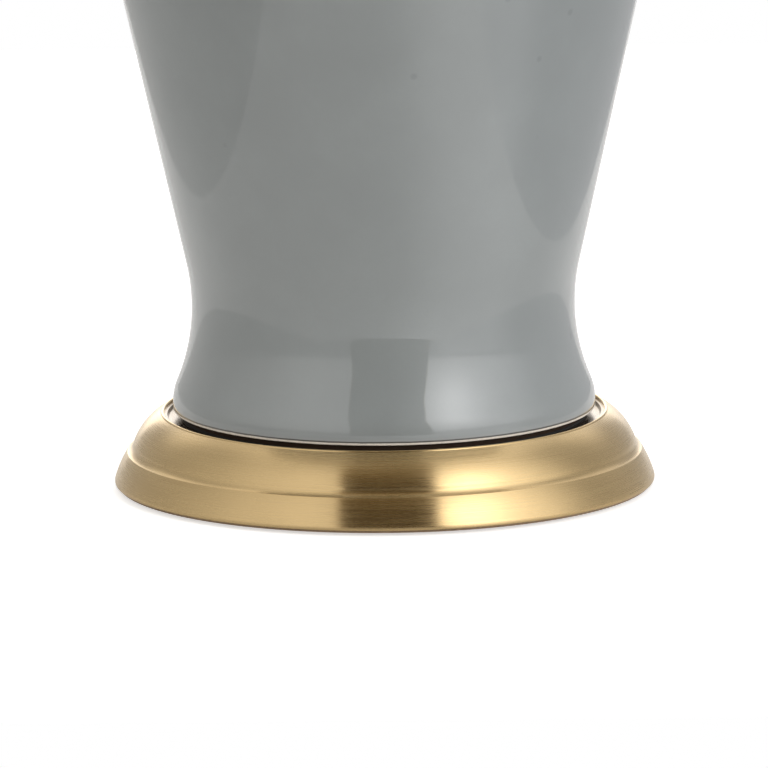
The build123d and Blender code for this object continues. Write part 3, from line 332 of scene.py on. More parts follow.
def weave_group():
    """Plain weave on the piece's own map, in metres: thread colour mask, gaps and height."""
    group, given, leave = start_group(
        "Linen weave",
        [("Thread", NUMBER, 0.0009), ("Slub", NUMBER, 0.5)],
        [("Warp", NUMBER), ("Shade", NUMBER), ("Height", NUMBER)],
    )
    flat = split(group, put(group, "ShaderNodeUVMap", uv_map="cloth").outputs[0])
    run = maths(group, "DIVIDE", flat[0], given["Thread"])
    rise = maths(group, "DIVIDE", flat[1], given["Thread"])
    warp_slub = noise(group, vector(group, run, times(group, rise, 0.035), 3.0), 0.6, detail=2.0)
    weft_slub = noise(group, vector(group, times(group, run, 0.03), rise, 8.0), 0.6, detail=2.0)

    def about_half(value, share):
        return times(group, minus(group, value, 0.5), share)

    def wave(count, wander):
        turn = times(group, plus(group, count, about_half(wander, 0.5)), math.pi)
        return maths(group, "SINE", turn)

    def thread_height(wave, slub, thin, thick):
        return times(group, maths(group, "ABSOLUTE", wave), ramp(group, slub, 0.25, 0.8, thin, thick))

    warp_wave, weft_wave = wave(run, weft_slub), wave(rise, warp_slub)
    warp_top = ramp(group, times(group, warp_wave, weft_wave), -0.25, 0.25)
    warp_high = thread_height(warp_wave, warp_slub, 0.7, 1.15)
    weft_high = thread_height(weft_wave, weft_slub, 0.65, 1.25)
    height = blend_numbers(group, warp_top, weft_high, warp_high)
    slubs = plus(group, about_half(weft_slub, given["Slub"]), about_half(warp_slub, given["Slub"]))
    group.links.new(warp_top, leave["Warp"])
    # Shade: uneven slubs, plus painted highlight where the threads stand high
    group.links.new(plus(group, slubs, times(group, height, 0.3)), leave["Shade"])
    group.links.new(height, leave["Height"])
    return group


GROUPS = {}


def shared(name):
    """The node group of that name, built once."""
    makers = {
        "brush": brush_lines_group,
        "marks": handling_group,
        "grain": grain_group,
        "weave": weave_group,
    }
    if name not in GROUPS:
        GROUPS[name] = makers[name]()
    return GROUPS[name]


def use(tree, name, **values):
    made = put(tree, "ShaderNodeGroup", node_tree=shared(name))
    for key, value in values.items():
        made.inputs[key.replace("_", " ")].default_value = value
    return made.outputs


def start_material(name, **sockets):
    """A material with one Principled shader; constants go on its own sockets."""
    material = bpy.data.materials.new(name)
    material.use_nodes = True
    tree = material.node_tree
    shader = tree.nodes["Principled BSDF"]
    for key, value in sockets.items():
        shader.inputs[key.replace("_", " ")].default_value = value
    return material, tree, shader.inputs


def bump(tree, shader, height, distance, strength=1.0):
    made = put(tree, "ShaderNodeBump", {"Height": height, "Distance": distance, "Strength": strength})
    tree.links.new(made.outputs[0], shader["Normal"])


def shaded(colour, share):
    return tuple(min(1.0, part * share) for part in colour)


def between(tree, value, low, low_end, high_end, high):
    """A mask that rises from low to low_end and falls from high_end to high."""
    return times(tree, ramp(tree, value, low, low_end), ramp(tree, value, high_end, high, 1.0, 0.0))


# Materials, one for each finish of the lamp

# Painted shade where the brass recess and the urn's foot lie in shadow: distances from the axis, and heights
# above the table
RECESS_EDGE = (77.3 * MM, 77.7 * MM)
RECESS_HEIGHTS = (23.0 * MM, 24.0 * MM, 27.6 * MM, 28.2 * MM)
FOOT_EDGE = (72.6 * MM, 73.2 * MM)
FOOT_HEIGHTS = (28.6 * MM, 29.0 * MM)
FOOT_SHADOW = (0.045, 0.024, 0.012)
# Colour of the glaze's small dark specks
GLAZE_SPECK = (0.10, 0.11, 0.11)
# Painted shadow: the near-black line under the glaze's lower edge, just above the bare clay
GLAZE_LIP_SHADE = (0.02, 0.012, 0.004)


def brushed_brass():
    """Lacquered brass, brushed round the axis, so that its shine spreads up and down; painted shade darkens
    its recess.
    """
    brass = bpy.context.scene.urn_lamp.brass
    colour, dark = brass.colour, brass.dark_colour
    material, tree, shader = start_material(
        "brushed_brass", Metallic=1.0, Anisotropic=0.92, Anisotropic_Rotation=0.25
    )
    brush = use(tree, "brush", Lines_per_mm=3.0, Arc_length=2.5)
    marks = use(tree, "marks", Cloud_size=35 * MM, Speck_size=6 * MM, Speck_share=0.06)
    tone = blend_colours(tree, ramp(tree, brush["Streak"], 0.0, 1.0, 0.65, 0.95), dark, colour)
    tone = blend_colours(tree, times(tree, marks["Cloud"], 0.18), tone, shaded(colour, 0.78))
    tone = blend_colours(tree, times(tree, marks["Speck"], 0.15), tone, shaded(dark, 0.45))
    place = object_position(tree)
    # Painted shade: the recess inside the rim is darkened where the rim and the urn's foot shade it
    within = ramp(tree, distance_from_axis(tree, place), *RECESS_EDGE, 1.0, 0.0)
    recess_shade = times(tree, within, between(tree, split(tree, place)[2], *RECESS_HEIGHTS))
    tone = blend_colours(tree, recess_shade, tone, shaded(dark, 0.35))
    tree.links.new(tone, shader["Base Color"])
    rough = plus(tree, brass.roughness - 0.06, times(tree, brush["Streak"], 0.10))
    rough = plus(tree, rough, times(tree, marks["Cloud"], 0.05))
    rough = minus(tree, rough, times(tree, brush["Scratch"], 0.08), clamp=True)
    tree.links.new(rough, shader["Roughness"])
    around = put(tree, "ShaderNodeTangent", direction_type="RADIAL", axis="Z")
    tree.links.new(around.outputs[0], shader["Tangent"])
    bump(tree, shader, brush["Height"], 0.004 * MM, 0.4)
    return material


def blue_grey_glaze():
    """Glossy grey-blue glaze over clay, thin over edges and bare on the foot, with painted shade on the foot
    ring and painted shadow under the glaze's edge.
    """
    glaze = bpy.context.scene.urn_lamp.glaze
    material, tree, shader = start_material(
        "blue_grey_glaze", IOR=1.5, Coat_Roughness=0.02, Coat_IOR=1.58
    )
    place = object_position(tree)
    height = split(tree, place)[2]
    ragged = times(tree, noise(tree, place, 220.0, detail=3.0), 0.2 * MM)
    above = minus(tree, height, plus(tree, glaze.clay_height - 0.1 * MM, ragged))
    glazed = ramp(tree, above, -0.12 * MM, 0.12 * MM)
    thin = ramp(tree, above, 0.4 * MM, 1.8 * MM, 0.3, 0.0)
    # Painted shadow: a thin band along the glaze's lower edge
    lip_shade = ramp(tree, above, 0.3 * MM, 0.75 * MM, 0.95, 0.0)
    marks = use(tree, "marks", Cloud_size=45 * MM, Speck_size=11 * MM, Speck_share=0.10)
    fine = use(tree, "grain", Grain_size=1.2 * MM, Coarseness=0.3)["Grain"]
    darker, lighter = shaded(glaze.colour, 0.95), shaded(glaze.colour, 1.04)
    tone = blend_colours(tree, marks["Cloud"], darker, lighter)
    tone = blend_colours(tree, ramp(tree, fine, 0.35, 0.65, 0.0, 0.25), tone, darker)
    tone = blend_colours(tree, times(tree, marks["Speck"], 0.22), tone, GLAZE_SPECK)
    tone = blend_colours(tree, thin, tone, glaze.thin_colour)
    tone = blend_colours(tree, lip_shade, tone, GLAZE_LIP_SHADE)
    clay = blend_colours(tree, ramp(tree, fine, 0.3, 0.7), shaded(glaze.clay, 0.85), glaze.clay)
    tone = blend_colours(tree, glazed, clay, tone)
    # Painted shade: the foot ring under the urn is coloured near black where the base's recess shades it
    foot_shade = ramp(tree, distance_from_axis(tree, place), *FOOT_EDGE, 1.0, 0.0)
    foot_shade = times(tree, foot_shade, ramp(tree, height, *FOOT_HEIGHTS, 1.0, 0.0))
    tree.links.new(blend_colours(tree, foot_shade, tone, FOOT_SHADOW), shader["Base Color"])
    tree.links.new(ramp(tree, glazed, 0.0, 1.0, 0.85, 0.35, smooth=False), shader["Roughness"])
    tree.links.new(glazed, shader["Coat Weight"])
    wave = noise(tree, place, 38.0, detail=2.0, roughness=0.45)
    bump(tree, shader, minus(tree, wave, times(tree, marks["Speck"], 0.25)), glaze.ripple)
    return material


def fine_finish(name, light, dark, rough, grain, coarse, depth, metal, sockets=None):
    """A finish of two tones with fine grain, slow clouds and a few specks; grain and depth in mm."""
    material, tree, shader = start_material(name, Metallic=metal, **(sockets or {}))
    fine = use(tree, "grain", Grain_size=grain * MM, Coarseness=coarse)["Grain"]
    marks = use(tree, "marks", Cloud_size=0.02, Speck_size=0.003, Speck_share=0.06)
    tone = blend_colours(tree, ramp(tree, fine, 0.3, 0.7), dark, light)
    tone = blend_colours(tree, times(tree, marks["Cloud"], 0.35), tone, dark)
    specks = times(tree, marks["Speck"], 0.5)
    tone = blend_colours(tree, specks, tone, shaded(dark, 0.5))
    tree.links.new(tone, shader["Base Color"])
    uneven = ramp(tree, fine, 0.2, 0.8, rough - 0.08, rough + 0.08)
    uneven = plus(tree, uneven, times(tree, marks["Cloud"], 0.05), clamp=True)
    tree.links.new(uneven, shader["Roughness"])
    bump(tree, shader, fine, depth * MM)
    return material


def linen(name="linen", scale=1.0):
    """Plain-woven linen: uneven threads over and under, on the piece's own flat map, with painted shade in
    the gaps and painted highlight on the raised threads.
    """
    cloth = bpy.context.scene.urn_lamp.linen
    material, tree, shader = start_material(name, Sheen_Weight=0.25, Sheen_Roughness=0.5)
    weave = use(tree, "weave", Thread=cloth.thread * scale, Slub=0.6)
    marks = use(tree, "marks", Cloud_size=0.08, Speck_size=0.012, Speck_share=0.05)
    tone = blend_colours(tree, weave["Warp"], cloth.weft_colour, cloth.warp_colour)
    deep = shaded(cloth.weft_colour, 0.62)
    # Painted shade: the low gaps between the threads are darkened
    gaps = ramp(tree, weave["Height"], 0.0, 0.55, 0.85, 0.0)
    tone = blend_colours(tree, gaps, tone, deep)
    # Lighter with the slubs, and painted highlight on the raised threads
    light = shaded(cloth.warp_colour, 1.12)
    tone = blend_colours(tree, ramp(tree, weave["Shade"], 0.1, 0.5, 0.0, 0.7), tone, light)
    tone = blend_colours(tree, times(tree, marks["Cloud"], 0.05), tone, deep)
    tone = blend_colours(tree, times(tree, marks["Speck"], 0.2), tone, deep)
    tree.links.new(tone, shader["Base Color"])
    tree.links.new(ramp(tree, weave["Height"], 0.0, 1.0, 0.95, 0.78), shader["Roughness"])
    bump(tree, shader, weave["Height"], 0.16 * MM)
    return material


def frosted_dome():
    """Milky diffuser of the bulb, a little see-through."""
    material, tree, shader = start_material(
        "frosted_dome", Transmission_Weight=0.3, IOR=1.45, Specular_IOR_Level=0.4
    )
    fine = use(tree, "grain", Grain_size=0.5 * MM, Coarseness=0.3)["Grain"]
    tone = blend_colours(tree, fine, (0.88, 0.88, 0.85), (0.94, 0.94, 0.92))
    tree.links.new(tone, shader["Base Color"])
    tree.links.new(ramp(tree, fine, 0.3, 0.7, 0.45, 0.55), shader["Roughness"])
    bump(tree, shader, fine, 0.004 * MM)
    return material


# Finishes of one recipe: light tone, dark tone, roughness, grain in millimetres, share of coarse
# grain, bump in millimetres, metal, and any other sockets of the shader
FINE_FINISHES = {
    "felt": ((0.13, 0.105, 0.09), (0.06, 0.048, 0.04), 0.92, 0.3, 0.2, 0.15, 0.0,
             {"Sheen_Weight": 0.4}),
    "fibreboard": ((0.38, 0.28, 0.19), (0.24, 0.16, 0.1), 0.85, 1.2, 0.4, 0.05, 0.0),
    "black_plastic": ((0.035, 0.034, 0.033), (0.02, 0.02, 0.02), 0.42, 0.35, 0.4, 0.01, 0.0),
    "cast_iron": ((0.17, 0.17, 0.18), (0.09, 0.09, 0.1), 0.66, 1.6, 0.6, 0.12, 0.7),
    "zinc_steel": ((0.66, 0.67, 0.68), (0.48, 0.49, 0.5), 0.36, 1.0, 0.4, 0.004, 1.0),
    "gasket_rubber": ((0.045, 0.045, 0.045), (0.025, 0.025, 0.025), 0.78, 0.5, 0.4, 0.01, 0.0),
    "harp_steel": ((0.7, 0.55, 0.34), (0.52, 0.39, 0.21), 0.27, 0.9, 0.4, 0.003, 1.0),
    "sleeve_card": ((0.6, 0.49, 0.36), (0.44, 0.34, 0.24), 0.9, 0.8, 0.4, 0.03, 0.0),
    "socket_phenolic": ((0.075, 0.06, 0.055), (0.035, 0.028, 0.026), 0.38, 0.7, 0.4, 0.01, 0.0),
    "contact_brass": ((0.74, 0.58, 0.28), (0.55, 0.4, 0.16), 0.3, 0.7, 0.4, 0.003, 1.0),
    "solder": ((0.66, 0.66, 0.64), (0.46, 0.46, 0.45), 0.42, 1.0, 0.4, 0.02, 1.0),
    "insulator_black": ((0.03, 0.03, 0.03), (0.012, 0.012, 0.012), 0.22, 0.6, 0.4, 0.01, 0.0,
                        {"Coat_Weight": 0.4}),
    "bulb_nickel": ((0.78, 0.78, 0.77), (0.6, 0.6, 0.59), 0.24, 0.8, 0.4, 0.003, 1.0),
    "bulb_white": ((0.86, 0.86, 0.84), (0.78, 0.78, 0.76), 0.38, 0.5, 0.4, 0.008, 0.0),
    "board_white": ((0.82, 0.82, 0.8), (0.72, 0.72, 0.7), 0.5, 0.4, 0.4, 0.01, 0.0),
    "led_yellow": ((0.88, 0.74, 0.26), (0.74, 0.58, 0.14), 0.4, 0.3, 0.4, 0.01, 0.0),
    "driver_green": ((0.06, 0.28, 0.13), (0.03, 0.16, 0.07), 0.35, 0.5, 0.4, 0.01, 0.0),
    "styrene": ((0.9, 0.89, 0.86), (0.84, 0.83, 0.79), 0.5, 0.9, 0.4, 0.01, 0.0),
    "shade_wire": ((0.82, 0.8, 0.74), (0.7, 0.68, 0.62), 0.4, 0.7, 0.4, 0.01, 0.0),
    "spider_brass": ((0.7, 0.55, 0.34), (0.52, 0.39, 0.21), 0.3, 0.9, 0.4, 0.003, 1.0),
}

OWN_FINISHES = {
    "brushed_brass": brushed_brass,
    "blue_grey_glaze": blue_grey_glaze,
    "frosted_dome": frosted_dome,
    "linen": linen,
    "linen_trim": lambda: linen("linen_trim", 0.8),
}

MATERIALS = {}


def finish_named(slot):
    """The material of a slot of the record, built once."""
    if slot not in MATERIALS:
        own = OWN_FINISHES.get(slot)
        MATERIALS[slot] = own() if own else fine_finish(slot, *FINE_FINISHES[slot])
    return MATERIALS[slot]


# Outlines: lists of points (across, up) in millimetres


def arc(start, heading, radius, turn, steps):
    """Points of an arc that leaves start at heading and turns left by turn degrees."""
    side = 1.0 if turn > 0 else -1.0
    centre = (start[0] - side * radius * math.sin(heading), start[1] + side * radius * math.cos(heading))
    points = []
    for step in range(1, steps + 1):
        angle = heading + math.radians(turn) * step / steps
        points.append(
            (centre[0] + side * radius * math.sin(angle), centre[1] - side * radius * math.cos(angle))
        )
    return points


def bulge(start, end, radius, steps=16):
    """Points of an arc from start to end that swells to the right of its way, or left if below zero."""
    chord = math.dist(start[:2], end[:2])
    turn = 2 * math.asin(chord / 2 / abs(radius)) * (1 if radius > 0 else -1)
    heading = math.atan2(end[1] - start[1], end[0] - start[0]) - turn / 2
    return arc(start, heading, abs(radius), math.degrees(turn), steps)


def oval(centre, across, up, first=0, last=360, steps=24):
    """Points of an oval about centre, from the angle first to last in degrees."""
    angles = [math.radians(first + (last - first) * step / steps) for step in range(steps + 1)]
    return [(centre[0] + across * math.cos(a), centre[1] + up * math.sin(a)) for a in angles]


def flow(start, end, leave, arrive, steps=16):
    """A smooth curve from start to end that leaves and arrives in the given directions."""
    start, end = Vector(start), Vector(end)
    reach = 0.38 * (end - start).length
    first, second = start + Vector(leave).normalized() * reach, end - Vector(arrive).normalized() * reach
    points = []
    for step in range(1, steps + 1):
        t = step / steps
        u = 1 - t
        point = start * u**3 + first * 3 * u * u * t + second * 3 * u * t * t + end * t**3
        points.append(tuple(point))
    return points


def ladder(start, end, count):
    """Evenly spaced points from start to end, both included."""
    return [tuple(a + (b - a) * step / count for a, b in zip(start, end)) for step in range(count + 1)]


def eased(corners, radius=0.0, closed=False, steps=4):
    """The path through the corners, each rounded by radius or by its own third number."""
    path = []
    for place, corner in enumerate(corners):
        size = corner[2] if len(corner) > 2 else radius
        before, after = corners[place - 1][:2], corners[(place + 1) % len(corners)][:2]
        heading = math.atan2(corner[1] - before[1], corner[0] - before[0])
        leaving = math.atan2(after[1] - corner[1], after[0] - corner[0])
        turn = (leaving - heading + math.pi) % (2 * math.pi) - math.pi
        loose_end = not closed and place in (0, len(corners) - 1)
        if loose_end or size <= 0 or abs(turn) < 0.03:
            path.append(tuple(corner[:2]))
            continue
        room = 0.48 * min(math.dist(before, corner[:2]), math.dist(corner[:2], after))
        reach = min(size * math.tan(abs(turn) / 2), room)
        start = (corner[0] - reach * math.cos(heading), corner[1] - reach * math.sin(heading))
        path.append(start)
        path += arc(start, heading, reach / math.tan(abs(turn) / 2), math.degrees(turn), steps)
    return path


def thickened(path, wall):
    """A closed outline: the path, and the same path moved to its left by the wall."""
    inside = []
    for place, point in enumerate(path):
        before, after = path[max(place - 1, 0)], path[min(place + 1, len(path) - 1)]
        way = (Vector(after) - Vector(before)).normalized()
        inside.append((point[0] - way.y * wall, point[1] + way.x * wall))
    return list(path) + inside[::-1]


# Mesh helpers


def span(node):
    """Lowest and highest corner of a CAD node, in millimetres."""
    low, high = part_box(node)
    return low / MM, high / MM


def deselect():
    if bpy.context.mode != "OBJECT":
        bpy.ops.object.mode_set(mode="OBJECT")
    bpy.ops.object.select_all(action="DESELECT")


def choose(*pieces):
    """Selects only these pieces, the first of them active."""
    deselect()
    for piece in pieces:
        piece.select_set(True)
    bpy.context.view_layer.objects.active = pieces[0]
    return pieces[0]


def smoothed(piece, angle=35.0):
    choose(piece)
    bpy.ops.object.shade_smooth_by_angle(angle=math.radians(angle))
    return piece


def close_seams(near):
    """Merges the points that lie together, in metres, and turns the faces outward."""
    bpy.ops.object.mode_set(mode="EDIT")
    bpy.ops.mesh.select_all(action="SELECT")
    bpy.ops.mesh.remove_doubles(threshold=near)
    bpy.ops.mesh.normals_make_consistent(inside=False)
    bpy.ops.object.mode_set(mode="OBJECT")


def turned(name, outline, closed=True, segments=SEGMENTS, smooth=35.0):
    """Draws an outline point by point and spins it round the lamp's axis."""
    deselect()
    bpy.ops.mesh.primitive_plane_add(size=MM)
    piece = bpy.context.object
    piece.name = name
    bpy.ops.object.mode_set(mode="EDIT")
    bpy.ops.mesh.select_all(action="SELECT")
    bpy.ops.mesh.merge(type="CENTER")
    bpy.ops.transform.translate(value=(outline[0][0] * MM, 0, outline[0][1] * MM))
    path = outline + outline[:1] if closed else outline
    for before, after in zip(path, path[1:]):
        step = ((after[0] - before[0]) * MM, 0, (after[1] - before[1]) * MM)
        bpy.ops.mesh.extrude_vertices_move(TRANSFORM_OT_translate={"value": step})
    bpy.ops.mesh.select_all(action="SELECT")
    bpy.ops.mesh.remove_doubles(threshold=2e-6)
    bpy.ops.mesh.spin(steps=segments, angle=2 * math.pi, center=(0, 0, 0), axis=(0, 0, 1))
    close_seams(4e-6)
    return smoothed(piece, smooth)


def put_down(piece, turn=(0, 0, 0), move=(0, 0, 0)):
    """Turns a piece and moves it, in millimetres, with its place kept in its mesh."""
    choose(piece)
    piece.rotation_euler = turn
    piece.location = Vector(move) * MM
    bpy.ops.object.transform_apply(location=True, rotation=True, scale=True)
    return piece


def copied(piece, name):
    choose(piece)
    bpy.ops.object.duplicate()
    bpy.context.object.name = name
    return bpy.context.object


def joined(*pieces):
    choose(*pieces)
    bpy.ops.object.join()
    return pieces[0]


def reshaped(piece, change):
    """Moves each point of a mesh by a rule."""
    for vertex in piece.data.vertices:
        vertex.co = change(vertex.co)
    return piece


def ribbed(piece, count, depth, beyond, sharpness=2):
    """Presses even notches into a turned piece, where it is wider than beyond."""
    def press(spot):
        radius = math.hypot(spot.x, spot.y)
        if radius < beyond * MM:
            return spot
        wave = (0.5 + 0.5 * math.cos(count * math.atan2(spot.y, spot.x))) ** sharpness
        share = 1 - depth * MM * wave / radius
        return Vector((spot.x * share, spot.y * share, spot.z))
    return reshaped(piece, press)


def threaded(piece, low, high, pitch, depth, beyond):
    """Rolls a round thread into a turned piece from low to high, where it is wider than beyond."""
    def roll(spot):
        radius, height = math.hypot(spot.x, spot.y), spot.z / MM
        if radius < beyond * MM or not low < height < high:
            return spot
        fade = min(1.0, (height - low) / pitch, (high - height) / pitch)
        turn = math.atan2(spot.y, spot.x)
        wave = 0.5 - 0.5 * math.cos(2 * math.pi * height / pitch - turn)
        share = 1 - depth * MM * wave * fade / radius
        return Vector((spot.x * share, spot.y * share, spot.z))
    return reshaped(piece, roll)


def drilled(piece, radius, depth, turn, at):
    """Cuts a round hole through a piece with a rod that is then taken away."""
    deselect()
    bpy.ops.mesh.primitive_cylinder_add(
        vertices=64, radius=radius * MM, depth=depth * MM, location=Vector(at) * MM, rotation=turn
    )
    rod = bpy.context.object
    choose(piece)
    bpy.ops.object.modifier_add(type="BOOLEAN")
    cut = piece.modifiers[-1]
    cut.object, cut.operation, cut.solver = rod, "DIFFERENCE", "EXACT"
    bpy.ops.object.modifier_apply(modifier=cut.name)
    bpy.data.objects.remove(rod)
    return smoothed(piece, 28.0)


def wire(name, path, radius, sides=5, closed=False):
    """Round wire along a path of points (x, y, z) in millimetres."""
    deselect()
    bpy.ops.curve.primitive_bezier_curve_add()
    drawn = bpy.context.object
    drawn.name = name
    shape = drawn.data
    shape.splines.clear()
    line = shape.splines.new("POLY")
    line.points.add(len(path) - 1)
    for point, spot in zip(line.points, path):
        point.co = (*(Vector(spot) * MM), 1)
    line.use_cyclic_u = closed
    shape.bevel_depth = radius * MM
    shape.bevel_resolution = sides
    shape.use_fill_caps = not closed
    bpy.ops.object.convert(target="MESH")
    close_seams(2e-6)
    return smoothed(bpy.context.object, 40.0)


def bevelled(node, name, width, segments=2):
    """A copy of a CAD node with its sharp edges rounded off."""
    piece = copied(frame["nodes"][node], name)
    piece.parent = None
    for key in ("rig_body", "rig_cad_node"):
        if key in piece:
            del piece[key]
    bpy.ops.object.mode_set(mode="EDIT")
    bpy.ops.mesh.select_all(action="SELECT")
    bpy.ops.mesh.remove_doubles(threshold=2e-6)
    bpy.ops.mesh.dissolve_limited(angle_limit=math.radians(1.5))
    bpy.ops.mesh.normals_make_consistent(inside=False)
    bpy.ops.object.mode_set(mode="OBJECT")
    bpy.ops.object.modifier_add(type="BEVEL")
    bevel = piece.modifiers[-1]
    bevel.width, bevel.segments = width * MM, segments
    bevel.limit_method, bevel.angle_limit = "ANGLE", math.radians(38)
    bpy.ops.object.modifier_apply(modifier=bevel.name)
    return smoothed(piece, 32.0)


def lay_cloth(piece, radius):
    """Maps a round cloth piece flat, in metres: round it from the rear seam, and up its slope."""
    mesh = piece.data
    flat = mesh.uv_layers.new(name="cloth")
    for face in mesh.polygons:
        middle = math.atan2(face.center.y, face.center.x) - math.pi / 2
        middle %= 2 * math.pi
        for corner in face.loop_indices:
            spot = mesh.vertices[mesh.loops[corner].vertex_index].co
            turn = math.atan2(spot.y, spot.x) - math.pi / 2
            turn += 2 * math.pi * round((middle - turn) / (2 * math.pi))
            across = math.hypot(spot.x, spot.y)
            flat.data[corner].uv = (turn * radius * MM, spot.z + radius * MM - across)
    return piece


def dress(piece, slot, body, *nodes):
    """Gives a finished piece its material, its body and the CAD nodes that it stands for."""
    piece.data.materials.clear()
    piece.data.materials.append(finish_named(slot))
    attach(piece, body)
    if nodes:
        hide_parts(*nodes)
    return piece


# Operators, one for each piece or group of like pieces


class LAMP_OT_base(bpy.types.Operator):
    """Spun brass base with its hem, two swells, rim and recess, and the bushing in its rear wall"""

    bl_idname = "lamp.base"
    bl_label = "Brass base"

    def execute(self, context):
        low, high = span("base_shell")
        edge, hem_top, wall, bore = high.x, 3.05, 1.0, 5.2
        step, ledge, crest = (89.9, 14.15), (88.95, 14.6), 79.0
        floor, brow, brow_radius = 25.0, 26.0, 80.0
        under = low.z + 0.8
        hem = eased([(edge - wall, under), (edge, under, 0.7), (edge, hem_top)])
        swell = bulge((edge, hem_top), step, 38.0, 30)
        upper = bulge(ledge, (crest, high.z - 0.65), 20.8, 36)
        crease = bulge(swell[-5], upper[2], -3.6, 9)
        rim = oval((78.3, high.z - 0.8), 0.65, 0.65, 10, 180, 10)
        recess = eased([(77.5, high.z - 1.6), (76.3, floor, 0.6), (bore, floor)])
        inside = [(bore, floor - wall), (75.4, floor - wall), (76.6, 26.1), (78.3, 26.3)]
        for radius, height in bulge(ledge, (crest - 0.4, 26.2), 20.0, 16)[::-1]:
            thin = height < brow and radius > brow_radius
            inside.append((radius - wall if thin else radius, height))
        lower = bulge((edge, hem_top), step, 38.0, 12)[::-1]
        inside += [(radius - wall, height) for radius, height in lower]
        outline = hem + swell[:-4] + crease + upper[3:] + rim + recess + inside
        base = turned("brass_base", outline, segments=288, smooth=28.0)
        place, after = Vector(swell[14]), Vector(swell[16])
        lean = math.atan2(after.y - place.y, after.x - place.x) - math.pi / 2
        tilt, at = (lean - math.pi / 2, 0, 0), (0, place.x, place.y)
        drilled(base, 4.3, 8.0, tilt, at)
        dress(base, "brushed_brass", STAND, "base_shell")
        bore, barrel, flange = 3.1, 4.2, 5.5
        ring = [(bore, -3.2, 0.2), (barrel, -3.2, 0.2), (barrel, 0.0), (flange, 0.0, 0.2)]
        ring += [(flange - 0.5, 1.4, 0.5), (bore, 1.4, 0.6)]
        bushing = put_down(turned("cord_bushing_ring", eased(ring, closed=True), segments=64), tilt, at)
        dress(bushing, "black_plastic", STAND, "cord_bushing")
        return {"FINISHED"}


class LAMP_OT_felt(bpy.types.Operator):
    """Felt disc glued under the base, with a slightly uneven cut edge"""

    bl_idname = "lamp.felt"
    bl_label = "Felt pad"

    def execute(self, context):
        high = span("felt_pad")[1]
        edge, bottom, flat = high.x, 0.02, high.x - 4.0
        under = ladder((0.0, bottom), (flat, bottom), 8)
        over = ladder((flat, high.z), (0.0, high.z), 6)
        outline = eased(under + [(edge, bottom, 0.3), (edge, high.z, 0.3)] + over)
        felt = turned("felt_disc", outline, closed=False, segments=SEGMENTS)
        reshaped(felt, self.cut_edge)
        dress(felt, "felt", STAND, "felt_pad")
        return {"FINISHED"}

    def cut_edge(self, spot):
        turn = math.atan2(spot.y, spot.x)
        wobble = 0.12 * math.sin(7 * turn) + 0.08 * math.sin(23 * turn + 1.0)
        radius = math.hypot(spot.x, spot.y)
        if radius < 80 * MM:
            return spot
        share = 1 + (wobble - 0.25) * MM / radius
        return Vector((spot.x * share, spot.y * share, spot.z))


class LAMP_OT_urn(bpy.types.Operator):
    """Glazed urn: foot ring, swelling foot, waist, flare, belly, shoulder and neck"""

    bl_idname = "lamp.urn"
    bl_label = "Glazed urn"

    def execute(self, context):
        low, high = span("urn_body")
        foot, wall, ring_outer, ring_inner = 74.5, 5.0, 71.3, 60.0
        edge, widest = low.z + 2.2, low.z + 4.7
        points = [(ring_outer, low.z + 0.4), (ring_outer, edge, 0.4), (foot, edge, 0.4), (foot, widest)]
        points = eased(points)
        heading = math.pi / 2
        for radius, turn, steps in ((19.0, 22.7, 14), (70.0, -35.4, 34)):
            points += arc(points[-1], heading, radius, turn, steps)
            heading += math.radians(turn)
        reach = 133.0
        end = (points[-1][0] + math.cos(heading) * reach, points[-1][1] + math.sin(heading) * reach)
        points += ladder(points[-1], end, 18)[1:]
        for radius, turn, steps in ((260.0, 12.7, 14), (78.0, 80.0, 40), (6.0, -80.0, 12)):
            points += arc(points[-1], heading, radius, turn, steps)
            heading += math.radians(turn)
        neck, top = points[-1][0], high.z
        mouth, pipe_hole = neck - wall, 8.0
        lip = eased([(neck, top - 3.0), (neck, top, 1.0), (mouth, top, 1.0), (mouth, top - 12.0)])
        inside = [(60.0, top - 26.0), (90.0, top - 55.0), (99.5, 250.0), (75.0, 110.0)]
        inside += [(foot - 12.0, 60.0), (foot - wall - 2, low.z + 9.0)]
        inside += [(pipe_hole, low.z + 7.0), (pipe_hole, edge)]
        under = [(ring_inner, edge, 0.4), (ring_inner, low.z, 0.4), (ring_outer, low.z, 0.4)]
        outline = points + lip + inside + eased([inside[-1]] + under + [(ring_outer, low.z + 0.4)])[1:-1]
        urn = turned("glazed_urn", outline, segments=288, smooth=40.0)
        dress(urn, "blue_grey_glaze", STAND, "urn_body")
        return {"FINISHED"}


